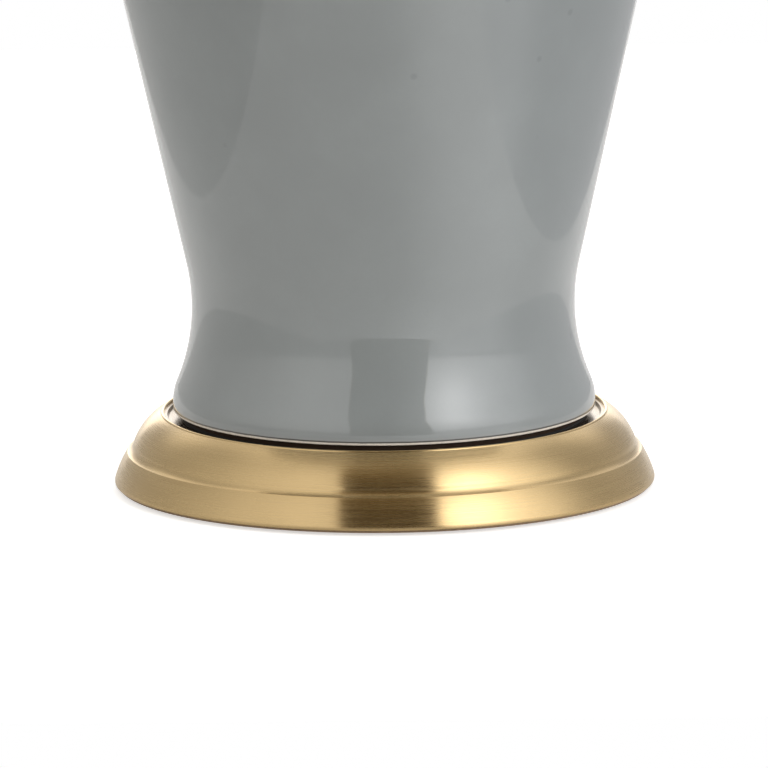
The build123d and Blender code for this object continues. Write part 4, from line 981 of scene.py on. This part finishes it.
class LAMP_OT_cap(bpy.types.Operator):
    """Brass cap on the urn's neck, the turned neck above it and the knurled check ring"""

    bl_idname = "lamp.cap"
    bl_label = "Cap, neck and check ring"

    def execute(self, context):
        low, high = span("vase_cap")
        lip, top, bore = high.x, high.z, 5.2
        skirt, shoulder = lip - 2.4, high.z - 9.0
        foot = skirt - 7.0
        path = [(lip - 1.0, low.z), (lip, low.z, 0.5), (lip, low.z + 1.2, 0.7), (skirt, low.z + 2.6, 0.9)]
        path += [(skirt, shoulder, 0.9), (foot + 1.6, shoulder, 0.3), (foot + 1.6, shoulder + 0.7, 0.35)]
        path += [(foot + 0.2, shoulder + 0.7, 0.35)]
        path += bulge((foot + 0.2, shoulder + 0.7), (13.5, top), -19.4, 24) + [(bore, top)]
        cap = turned("brass_cap", thickened(eased(path), 1.0), smooth=30.0)
        dress(cap, "brushed_brass", STAND, "vase_cap")

        low, high = span("brass_neck")
        foot, top, waist, middle = high.x, 11.5, 7.6, (low.z + high.z) / 2
        path = [(bore, low.z), (foot, low.z, 0.3), (foot, low.z + 2.2, 0.5), (foot - 0.6, low.z + 2.3, 0.2)]
        path += bulge((foot - 0.6, low.z + 2.3), (waist + 0.3, middle - 3.3), -8.0, 14)
        path += [(waist + 0.3, middle - 3.0, 0.1), (waist, middle - 3.0, 0.1)]
        path += bulge((waist, middle - 3.0), (waist, middle + 3.0), 3.01, 18)
        path += [(waist + 0.3, middle + 3.0, 0.1), (waist + 0.3, middle + 3.3, 0.1)]
        path += bulge((waist + 0.3, middle + 3.3), (top, high.z - 2.0), -8.0, 14)
        path += [(top, high.z, 0.4), (bore, high.z)]
        dress(turned("turned_neck", eased(path), segments=128), "brushed_brass", STAND, "brass_neck")

        low, high = span("check_ring")
        path = [(bore, low.z), (high.x, low.z, 0.4), (high.x, high.z, 0.4), (bore, high.z)]
        ring = turned("knurled_ring", eased(path), segments=240)
        dress(ribbed(ring, 40, 0.4, high.x - 0.5), "brushed_brass", STAND, "check_ring")
        return {"FINISHED"}


class LAMP_OT_harp(bpy.types.Operator):
    """Harp: saddle, bent wire, threaded stud and the two ferrules that lock it"""

    bl_idname = "lamp.harp"
    bl_label = "Harp"

    def execute(self, context):
        saddle = bevelled("harp_saddle", "saddle_strip", 0.3)
        dress(saddle, "harp_steel", STAND, "harp_saddle")
        saddle_bottom = span("harp_saddle")[0].z

        low, high = span("harp_wire")
        thick = 1.6
        leg, wide, foot, top = 31.45, high.x - thick, low.z, high.z - thick
        side = [(leg, foot), (leg, saddle_bottom + 58, 45), (wide, saddle_bottom + 104, 60)]
        side += [(wide, saddle_bottom + 196, 80), (27.0, top, 38)]
        corners = side + [(-corner[0], *corner[1:]) for corner in side[::-1]]
        path = [(x, 0, z) for x, z in eased(corners, steps=14)]
        harp = wire("bent_wire", path, thick)
        dress(harp, "harp_steel", STAND, "harp_wire")

        low, high = span("harp_stud")
        hub, stud, hub_top = high.x, 3.1, low.z + 6.0
        path = [(0, low.z), (hub, low.z, 0.6), (hub, hub_top, 0.6), (stud, hub_top)]
        path += ladder((stud, hub_top + 0.1), (stud, high.z - 0.6), 130)
        path += [(stud - 0.6, high.z), (0, high.z)]
        rod = turned("threaded_stud", eased(path), closed=False, segments=48)
        threaded(rod, hub_top + 0.1, high.z, 0.94, 0.32, 2.6)
        dress(rod, "harp_steel", STAND, "harp_stud")

        low, high = span("ferrule_right")
        outer, bore = (high.x - low.x) / 2, 3.35
        path = [(bore, low.z, 0.25), (outer, low.z, 0.4), (outer, low.z + 2.4, 0.3)]
        path += [(outer - 0.3, low.z + 2.9, 0.3), (outer - 0.3, high.z - 2.9, 0.3)]
        path += [(outer, high.z - 2.4, 0.3), (outer, high.z, 0.4), (bore, high.z, 0.25)]
        sleeve = turned("right_sleeve", eased(path, closed=True), segments=64)
        other = copied(sleeve, "left_sleeve")
        away = 30
        put_down(sleeve, move=(away, 0, 0))
        put_down(other, move=(-away, 0, 0))
        dress(sleeve, "brushed_brass", "right_ferrule", "ferrule_right")
        dress(other, "brushed_brass", "left_ferrule", "ferrule_left")
        return {"FINISHED"}


class LAMP_OT_socket(bpy.types.Operator):
    """Lamp socket: cap, shell, screw shell and the small fittings inside"""

    bl_idname = "lamp.socket"
    bl_label = "Lamp socket"

    def execute(self, context):
        low, high = span("socket_cap")
        bore, hub, rim = 5.05, 7.5, high.x
        hub_top, sheet = low.z + 7.0, 0.7
        dome_end = hub_top + 8.0
        path = [(bore, low.z, 0.3), (hub, low.z, 0.8), (hub, hub_top, 0.2)]
        path += bulge((hub, hub_top), (rim, dome_end), 13.8, 22)
        path += [(rim, dome_end + 1.6, 0.4), (rim + 0.4, dome_end + 2.1, 0.4)]
        path += [(rim + 0.4, dome_end + 3.1, 0.4), (rim, dome_end + 3.6, 0.4)]
        path += [(rim, high.z, 0.3), (rim - sheet, high.z, 0.2), (rim - sheet, dome_end)]
        path += bulge((hub, hub_top + sheet), (rim - sheet, dome_end), 13.1, 12)[::-1][1:]
        path += [(bore, hub_top + sheet)]
        cap = turned("socket_bowl", eased(path, closed=True), segments=128, smooth=30.0)
        dress(cap, "brushed_brass", STAND, "socket_cap")

        low, high = span("socket_shell")
        side, lip, bead, bead_at = high.x - 0.8, high.x, high.x - 0.3, 436.0
        path = [(side, low.z), (side, bead_at, 0.5), (bead, bead_at + 0.8, 0.5)]
        path += [(bead, bead_at + 2.2, 0.5), (side, bead_at + 3.0, 0.5)]
        path += [(side, high.z - 2.4, 1.0), (lip, high.z, 0.2)]
        shell = turned("socket_tube", thickened(eased(path), sheet), segments=128, smooth=30.0)
        axis = span("switch_shaft")
        drilled(shell, 3.0, 12.0, (math.pi / 2, 0, 0), (0, -side, (axis[0].z + axis[1].z) / 2))
        dress(shell, "brushed_brass", STAND, "socket_shell")

        low, high = span("screw_shell")
        path = ladder((high.x - 0.2, low.z), (high.x - 0.2, high.z - 0.6), 66) + [(high.x, high.z)]
        tube = turned("screw_tube", thickened(path, 0.4), segments=96)
        threaded(tube, low.z, high.z, 3.63, 0.35, 12.0)
        dress(tube, "contact_brass", STAND, "screw_shell")

        fittings = {
            "set_screw": ("hub_screw", "zinc_steel", 0.2),
            "socket_body": ("moulded_block", "socket_phenolic", 0.4),
            "terminal_screws": ("wire_screws", "contact_brass", 0.2),
            "center_contact": ("spring_tab", "contact_brass", 0.12),
        }
        for node, (name, slot, width) in fittings.items():
            dress(bevelled(node, name, width), slot, STAND, node)
        return {"FINISHED"}


class LAMP_OT_switch(bpy.types.Operator):
    """Switch shaft and fluted knob"""

    bl_idname = "lamp.switch"
    bl_label = "Switch"

    def execute(self, context):
        low, high = span("switch_shaft")
        length, radius, axis = high.y - low.y, high.x, (low.z + high.z) / 2
        path = eased([(0, 0), (radius, 0, 0.3), (radius, length, 0.3), (0, length)])
        forward = (math.pi / 2, 0, 0)
        shaft = turned("switch_rod", path, closed=False, segments=48)
        put_down(shaft, forward, (0, high.y, axis))
        dress(shaft, "zinc_steel", SWITCH, "switch_shaft")
        low, high = span("switch_knob")
        length, radius, bore = high.y - low.y, (high.x - low.x) / 2, 2.05
        path = [(0, 8.0), (bore, 8.0), (bore, 0, 0.2), (radius, 0, 0.5), (radius, length - 0.9, 0.7)]
        path += [(radius - 1.3, length, 0.6), (radius - 2.3, length, 0.3), (radius - 2.8, length - 0.5, 0.3)]
        path += [(0, length - 0.5)]
        knob = turned("fluted_knob", eased(path), closed=False, segments=168)
        ribbed(knob, 14, 0.55, radius - 0.7)
        put_down(knob, forward, (0, high.y, axis))
        dress(knob, "black_plastic", SWITCH, "switch_knob")
        return {"FINISHED"}


class LAMP_OT_bulb(bpy.types.Operator):
    """LED bulb: contact, insulator, screw base, housing, dome, and the board and driver inside"""

    bl_idname = "lamp.bulb"
    bl_label = "Bulb"

    def execute(self, context):
        low, high = span("bulb_contact")
        path = [(0, low.z)] + bulge((0, low.z), (high.x - 0.2, low.z + 0.8), 12.0, 8)
        path += [(high.x, high.z), (0, high.z)]
        dress(turned("contact_button", path, closed=False, segments=64), "solder", BULB, "bulb_contact")

        low, high = span("bulb_insulator")
        tip = 5.4
        path = [(0, low.z), (tip, low.z, 0.5)]
        path += bulge((tip + 0.3, low.z + 0.2), (high.x, high.z - 1.3), 14.0, 10)
        path += [(high.x, high.z), (0, high.z)]
        skirt = turned("moulded_insulator", eased(path), closed=False, segments=96)
        dress(skirt, "insulator_black", BULB, "bulb_insulator")

        low, high = span("bulb_base")
        side, wall = high.x, 0.4
        path = [(side - 0.5, low.z)] + ladder((side, low.z + 0.6), (side, high.z - 0.6), 60)
        path += [(side - 0.25, high.z)]
        base = turned("screw_base", thickened(path, wall), segments=96)
        threaded(base, low.z + 0.5, high.z - 1.4, 3.63, 0.55, 11.0)
        dress(base, "bulb_nickel", BULB, "bulb_base")

        low, high = span("bulb_housing")
        collar, inner, screw_top = 12.5, 10.9, span("bulb_base")[1].z
        neck, mouth, ledge = 14.55, high.x - 1.6, 2.6
        path = [(inner, low.z, 0.2), (collar, low.z, 0.2), (collar, screw_top + 0.05)]
        path += [(neck, screw_top + 0.05, 0.5)]
        path += flow((neck, screw_top + 0.6), (high.x, high.z - 0.3), (0.15, 1), (0.17, 0.98), 26)
        path += [(high.x - 0.3, high.z), (mouth, high.z, 0.2), (mouth, high.z - ledge)]
        path += [(mouth - ledge, high.z - ledge)]
        path += flow((mouth - ledge, high.z - ledge), (inner, screw_top), (-0.4, -1), (0, -1), 14)
        housing = turned("bulb_cone", eased(path, closed=True), segments=128, smooth=30.0)
        dress(housing, "bulb_white", BULB, "bulb_housing")

        high = span("bulb_dome")[1]
        path = [(0, high.z)] + arc((0, high.z), 0.0, high.x, -100, 44)
        dome = turned("bulb_globe", thickened(path, -1.2), closed=False, segments=128, smooth=40.0)
        dress(dome, "frosted_dome", BULB, "bulb_dome")
        inside = {
            "led_board": ("round_board", "board_white", 0.15),
            "led_chips": ("light_chips", "led_yellow", 0.15),
            "led_driver": ("driver_card", "driver_green", 0.25),
        }
        for node, (name, slot, width) in inside.items():
            dress(bevelled(node, name, width), slot, BULB, node)
        return {"FINISHED"}


# Middle radius of the shade, at which its cloth is measured round, in millimetres
CLOTH_RADIUS = 190.5


class LAMP_OT_shade(bpy.types.Operator):
    """Drum shade: wire rings, spider, styrene liner, linen skin with its seam, and bound edges"""

    bl_idname = "lamp.shade"
    bl_label = "Shade"

    def execute(self, context):
        low, high = span("shade_liner")
        top, bottom, wide = high.z, low.z, high.x - 0.6
        narrow = 178.0
        slope = (wide - narrow) / (top - bottom)

        def at(height, out):
            """A point on the cone at that height, moved out from it."""
            return narrow + slope * (top - height) + out, height

        path = ladder(at(bottom, 0.6), at(top, 0.6), 10)
        liner = turned("styrene_liner", thickened(path, 0.6), segments=240, smooth=30.0)
        dress(liner, "styrene", SHADE, "shade_liner")

        path = ladder(at(bottom + 0.3, 1.35), at(top - 0.3, 1.35), 12)
        skin = turned("linen_skin", thickened(path, 0.7), segments=360, smooth=30.0)
        reshaped(skin, self.rear_seam)
        lay_cloth(skin, CLOTH_RADIUS)
        dress(skin, "linen", SHADE, "shade_fabric")

        for name, node, ring, edge, way in (
            ("top_binding", "shade_top_trim", "shade_top_ring", top, -1),
            ("bottom_binding", "shade_bottom_trim", "shade_bottom_ring", bottom, 1),
        ):
            out, back = 1.95, -3.9
            path = [at(edge + way * 9.0, out)]
            path += [(*at(edge + way * 0.15, out), 0.6), (*at(edge + way * 0.15, back), 1.2)]
            path += [(*at(edge + way * 4.3, back), 1.2), at(edge + way * 4.6, -0.4)]
            path = eased(path, steps=6)
            trim = turned(name, thickened(path, 0.45 * -way), segments=288, smooth=50.0)
            lay_cloth(trim, CLOTH_RADIUS)
            dress(trim, "linen_trim", SHADE, node)
            low, high = span(ring)
            centre = (high.x - 1.6, (low.z + high.z) / 2)
            hoop = turned(name.replace("binding", "hoop"), oval(centre, 1.6, 1.6)[:-1], segments=240)
            dress(hoop, "shade_wire", SHADE, ring)
        self.spider()
        return {"FINISHED"}

    def rear_seam(self, spot):
        """Lifts the lapped strip of the skin at the rear."""
        off = math.atan2(spot.x, spot.y) * CLOTH_RADIUS
        radius = math.hypot(spot.x, spot.y)
        share = 1 + 0.3 * MM / radius if -6.0 < off < 6.0 else 1.0
        return Vector((spot.x * share, spot.y * share, spot.z))

    def spider(self):
        low = span("shade_spider")[0]
        ring_low, ring_high = span("shade_top_ring")
        ring = ring_high.x - 1.6
        arm, rise, run = 1.6, (ring_low.z + ring_high.z) / 2, 26.0
        height = low.z + arm
        end = ring - 2.7
        path = eased([(12.6, height), (end - run, height, 12), (end, rise)], steps=10)
        first = wire("spider_frame", [(0, x, z) for x, z in path], arm)
        arms = [first]
        for turn in (120, 240):
            arms.append(put_down(copied(first, f"arm_{turn}"), (0, 0, math.radians(turn))))
        hub, bore = 14.0, 3.4
        face, dip = low.z + 1.6, low.z + 1.2
        plate = [(bore, low.z, 0.2), (hub, low.z, 0.4), (hub, face, 0.4), (hub - 3.0, face, 0.6)]
        plate += [(hub - 4.0, dip, 0.6), (bore + 2.5, dip, 0.6), (bore + 1.5, face, 0.5)]
        plate += [(bore, face, 0.2)]
        hub_plate = turned("hub_plate", eased(plate, closed=True), segments=96)
        dress(joined(first, *arms[1:], hub_plate), "spider_brass", SHADE, "shade_spider")


class LAMP_OT_finial(bpy.types.Operator):
    """Turned brass finial: tapped base with a waist and collar, and a ball with a small tip"""

    bl_idname = "lamp.finial"
    bl_label = "Finial"

    def execute(self, context):
        low, high = span("finial_base")
        foot, waist, collar, tap = high.x, 5.2, 6.8, 3.2
        foot_top, neck_top = low.z + 2.0, high.z - 2.2
        waist_at = (foot_top + 2 * neck_top) / 3
        tap_end = neck_top - 5.2
        path = [(0, tap_end), (tap, tap_end), (tap, low.z, 0.2), (foot, low.z, 0.4), (foot, foot_top, 0.5)]
        path += flow((foot - 0.5, foot_top + 0.1), (waist, waist_at), (-1, 0.4), (0, 1), 16)
        path += flow((waist, waist_at), (collar - 0.2, neck_top), (0, 1), (0.9, 1), 10)
        path += [(collar, neck_top + 0.2, 0.2), (collar, high.z, 0.6), (0, high.z)]
        base = turned("finial_stem", eased(path), closed=False, segments=96, smooth=30.0)
        dress(base, "brushed_brass", FINIAL, "finial_base")
        low, high = span("finial_ball")
        radius = high.x
        centre = low.z + math.sqrt(radius**2 - waist**2)
        start = math.degrees(math.asin((low.z - centre) / radius))
        path = [(0, low.z)] + oval((0, centre), radius, radius, start, 76, 40)
        tip_foot = path[-1]
        path += [(tip_foot[0] - 0.3, tip_foot[1] + 0.35)]
        path += oval((0, high.z - 2.0), 2.4, 2.0, -25, 90, 12)
        ball = turned("finial_knob", path, closed=False, segments=96, smooth=30.0)
        dress(ball, "brushed_brass", FINIAL, "finial_ball")
        return {"FINISHED"}


class LAMP_OT_hidden(bpy.types.Operator):
    """Finishes of the solids that are kept as they are, such as the weight and its nut"""

    bl_idname = "lamp.hidden"
    bl_label = "Parts kept from the frame"

    def execute(self, context):
        slots = {part["node"]: part["material_slot"] for part in frame["record"]["subparts"]}
        for node, piece in frame["nodes"].items():
            piece.data.materials.clear()
            piece.data.materials.append(finish_named(slots[node]))
        return {"FINISHED"}


class LAMP_OT_stage(bpy.types.Operator):
    """Pale table, soft studio light and the camera"""

    bl_idname = "lamp.stage"
    bl_label = "Stage and camera"

    def execute(self, context):
        stage = context.scene.urn_lamp.stage
        self.table()
        self.studio(context.scene)
        deselect()
        back = Vector((0, -math.cos(stage.camera_height), math.sin(stage.camera_height)))
        aim = Vector((0, 0, 36.0 * MM))
        bpy.ops.object.camera_add(location=aim + back * stage.camera_distance)
        camera = context.object
        camera.data.lens = stage.lens
        camera.data.sensor_width = 36.0
        camera.data.clip_end = 50.0
        turn = (-back).to_track_quat("-Z", "Y").to_matrix().to_4x4()
        roll = Matrix.Rotation(-stage.camera_roll, 4, "Z")
        camera.matrix_world = Matrix.Translation(camera.location) @ turn @ roll
        context.scene.camera = camera
        context.scene.view_settings.view_transform = "Standard"
        return {"FINISHED"}

    def table(self):
        deselect()
        bpy.ops.mesh.primitive_plane_add(size=1.0)
        table = bpy.context.object
        table.name = "table_top"
        bpy.ops.object.mode_set(mode="EDIT")
        bpy.ops.mesh.select_all(action="SELECT")
        bpy.ops.transform.resize(value=(0.54, 1.3, 1.0), center_override=(0, 0, 0))
        bpy.ops.transform.translate(value=(-0.02, 0.24, 0.0))
        bpy.ops.object.mode_set(mode="OBJECT")
        material, tree, shader = start_material("table_white", Roughness=0.9, Specular_IOR_Level=0.2)
        tone = noise(tree, object_position(tree), 3.0)
        white = blend_colours(tree, tone, (0.84, 0.84, 0.84), (0.86, 0.86, 0.86))
        tree.links.new(white, shader["Base Color"])
        ray = put(tree, "ShaderNodeLightPath").outputs
        place = split(tree, object_position(tree))
        to_right, to_front = ramp(tree, place[0], 0.0, 0.16), ramp(tree, place[1], -0.14, 0.0, 0.9, 0.0)
        lit = times(tree, times(tree, to_right, to_front), ray["Is Glossy Ray"])
        glow = maths(tree, "MAXIMUM", ray["Is Camera Ray"], lit)
        tree.links.new(blend_colours(tree, glow, (0, 0, 0), (1, 1, 1)), shader["Emission Color"])
        shader["Emission Strength"].default_value = 0.55
        near = maths(tree, "LESS_THAN", ray["Ray Length"], 2.0 * MM)
        near = times(tree, near, ray["Is Diffuse Ray"])
        under = maths(tree, "MAXIMUM", put(tree, "ShaderNodeNewGeometry").outputs["Backfacing"], near)
        clear = put(tree, "ShaderNodeBsdfTransparent")
        lamp_side = tree.nodes["Principled BSDF"].outputs[0]
        shown = put(tree, "ShaderNodeMixShader", {0: under, 1: lamp_side, 2: clear.outputs[0]})
        tree.links.new(shown.outputs[0], tree.nodes["Material Output"].inputs["Surface"])
        table.data.materials.append(material)

    def studio(self, scene):
        """Two soft boxes with a dark gap between them, grey sides and a white back, in degrees."""
        world = bpy.data.worlds.new("studio")
        scene.world = world
        world.use_nodes = True
        tree = world.node_tree
        tree.nodes.clear()
        part = split(tree, put(tree, "ShaderNodeTexCoord").outputs["Generated"])
        to_camera = times(tree, part[1], -1.0)
        turn = maths(tree, "DEGREES", maths(tree, "ARCTAN2", part[0], to_camera))
        lift = maths(tree, "DEGREES", maths(tree, "ARCSINE", part[2]))
        away = maths(tree, "ABSOLUTE", turn)
        high, above_table = ramp(tree, lift, 44.0, 66.0), ramp(tree, lift, -2.0, 3.0)

        def past(soft, *planes):
            """A mask of the directions that lie past both planes through the lamp."""
            sums = []
            for plane in planes:
                x, y, z = (times(tree, part[place], plane[place]) for place in range(3))
                sums.append(plus(tree, plus(tree, x, y), z))
            return ramp(tree, maths(tree, "MINIMUM", *sums), soft, 0.02)

        def soft_box(side, spread, strength):
            """Light from one side, which also reaches over the lamp."""
            lit = times(tree, maths(tree, "MAXIMUM", spread, high), side)
            return times(tree, times(tree, lit, above_table), strength)

        def off_middle(value, middle, size):
            share = maths(tree, "DIVIDE", minus(tree, value, middle), size)
            return times(tree, share, share)

        right_side = past(-0.005, (1.0, 0.49, 0.13), (1.0, 0.345, -0.16))
        left_side = past(-0.01, (-1.0, 0.34, 0.08), (-1.0, 0.30, -0.14))
        right = soft_box(right_side, ramp(tree, turn, 62.0, 110.0, 1.0, 0.0),
                         ramp(tree, lift, 38.0, 72.0, 1.15, 0.42))
        left = soft_box(left_side, ramp(tree, turn, -128.0, -30.0),
                        ramp(tree, lift, 45.0, 75.0, 0.60, 0.28))
        core = plus(tree, off_middle(turn, 41.0, 17.0), off_middle(lift, 26.0, 19.0))
        core = times(tree, maths(tree, "EXPONENT", times(tree, core, -1.0)), right_side)
        floor_glow = times(tree, between(tree, turn, 20.0, 40.0, 64.0, 90.0),
                           ramp(tree, lift, -3.0, 0.0, 1.0, 0.0))
        backdrop = times(tree, ramp(tree, away, 158.0, 176.0), ramp(tree, lift, 2.0, 10.0, 0.35, 1.2))
        crest = times(tree, ramp(tree, away, 126.0, 150.0), ramp(tree, lift, 18.0, 32.0, 0.0, 0.60))
        room = plus(tree, ramp(tree, lift, 40.0, 70.0, 0.50, 0.52),
                    maths(tree, "MAXIMUM", backdrop, crest))
        gap = times(tree, ramp(tree, right_side, 0.0, 1.0, 1.0, 0.0),
                    ramp(tree, left_side, 0.0, 1.0, 1.0, 0.0))
        dim = ramp(tree, lift, 42.0, 60.0, 0.15, 0.52)
        level = times(tree, room, blend_numbers(tree, gap, 1.0, dim))
        for more in (right, left, times(tree, core, 2.6), times(tree, floor_glow, 0.6)):
            level = plus(tree, level, more)
        tint = blend_colours(tree, ramp(tree, turn, -60.0, 60.0), (1.0, 0.985, 0.96), (0.99, 0.99, 1.0))
        tint = blend_colours(tree, gap, tint, (1.0, 0.78, 0.47))
        light = put(tree, "ShaderNodeBackground", {"Color": tint, "Strength": level})
        plain = put(tree, "ShaderNodeBackground", {"Color": (1, 1, 1, 1), "Strength": 1.0})
        seen = put(tree, "ShaderNodeLightPath").outputs["Is Camera Ray"]
        mixed = put(tree, "ShaderNodeMixShader", {0: seen, 1: light.outputs[0], 2: plain.outputs[0]})
        put(tree, "ShaderNodeOutputWorld", {"Surface": mixed.outputs[0]})


class LAMP_PT_panel(bpy.types.Panel):
    """Lists the lamp's settings and the steps that build it"""

    bl_idname = "LAMP_PT_panel"
    bl_label = "Urn lamp"
    bl_space_type = "VIEW_3D"
    bl_region_type = "UI"
    bl_category = "Urn lamp"

    def draw(self, context):
        settings = context.scene.urn_lamp
        for part in (settings.glaze, settings.brass, settings.linen, settings.stage):
            box = self.layout.box()
            for key in part.__annotations__:
                box.prop(part, key)
        for operator in OPERATORS:
            self.layout.operator(operator.bl_idname)


SETTINGS = (GlazeSettings, BrassSettings, ShadeSettings, StageSettings, LampSettings)
OPERATORS = (
    LAMP_OT_base,
    LAMP_OT_felt,
    LAMP_OT_urn,
    LAMP_OT_cap,
    LAMP_OT_harp,
    LAMP_OT_socket,
    LAMP_OT_switch,
    LAMP_OT_bulb,
    LAMP_OT_shade,
    LAMP_OT_finial,
    LAMP_OT_hidden,
    LAMP_OT_stage,
)


def register():
    for part in SETTINGS + OPERATORS + (LAMP_PT_panel,):
        bpy.utils.register_class(part)
    bpy.types.Scene.urn_lamp = PointerProperty(type=LampSettings)


def unregister():
    del bpy.types.Scene.urn_lamp
    for part in reversed(SETTINGS + OPERATORS + (LAMP_PT_panel,)):
        bpy.utils.unregister_class(part)


def main():
    register()
    for material in list(bpy.data.materials):
        bpy.data.materials.remove(material)
    for operator in OPERATORS:
        step = operator.bl_idname.split(".")[1]
        getattr(bpy.ops.lamp, step)()


if __name__ == "__main__":
    main()
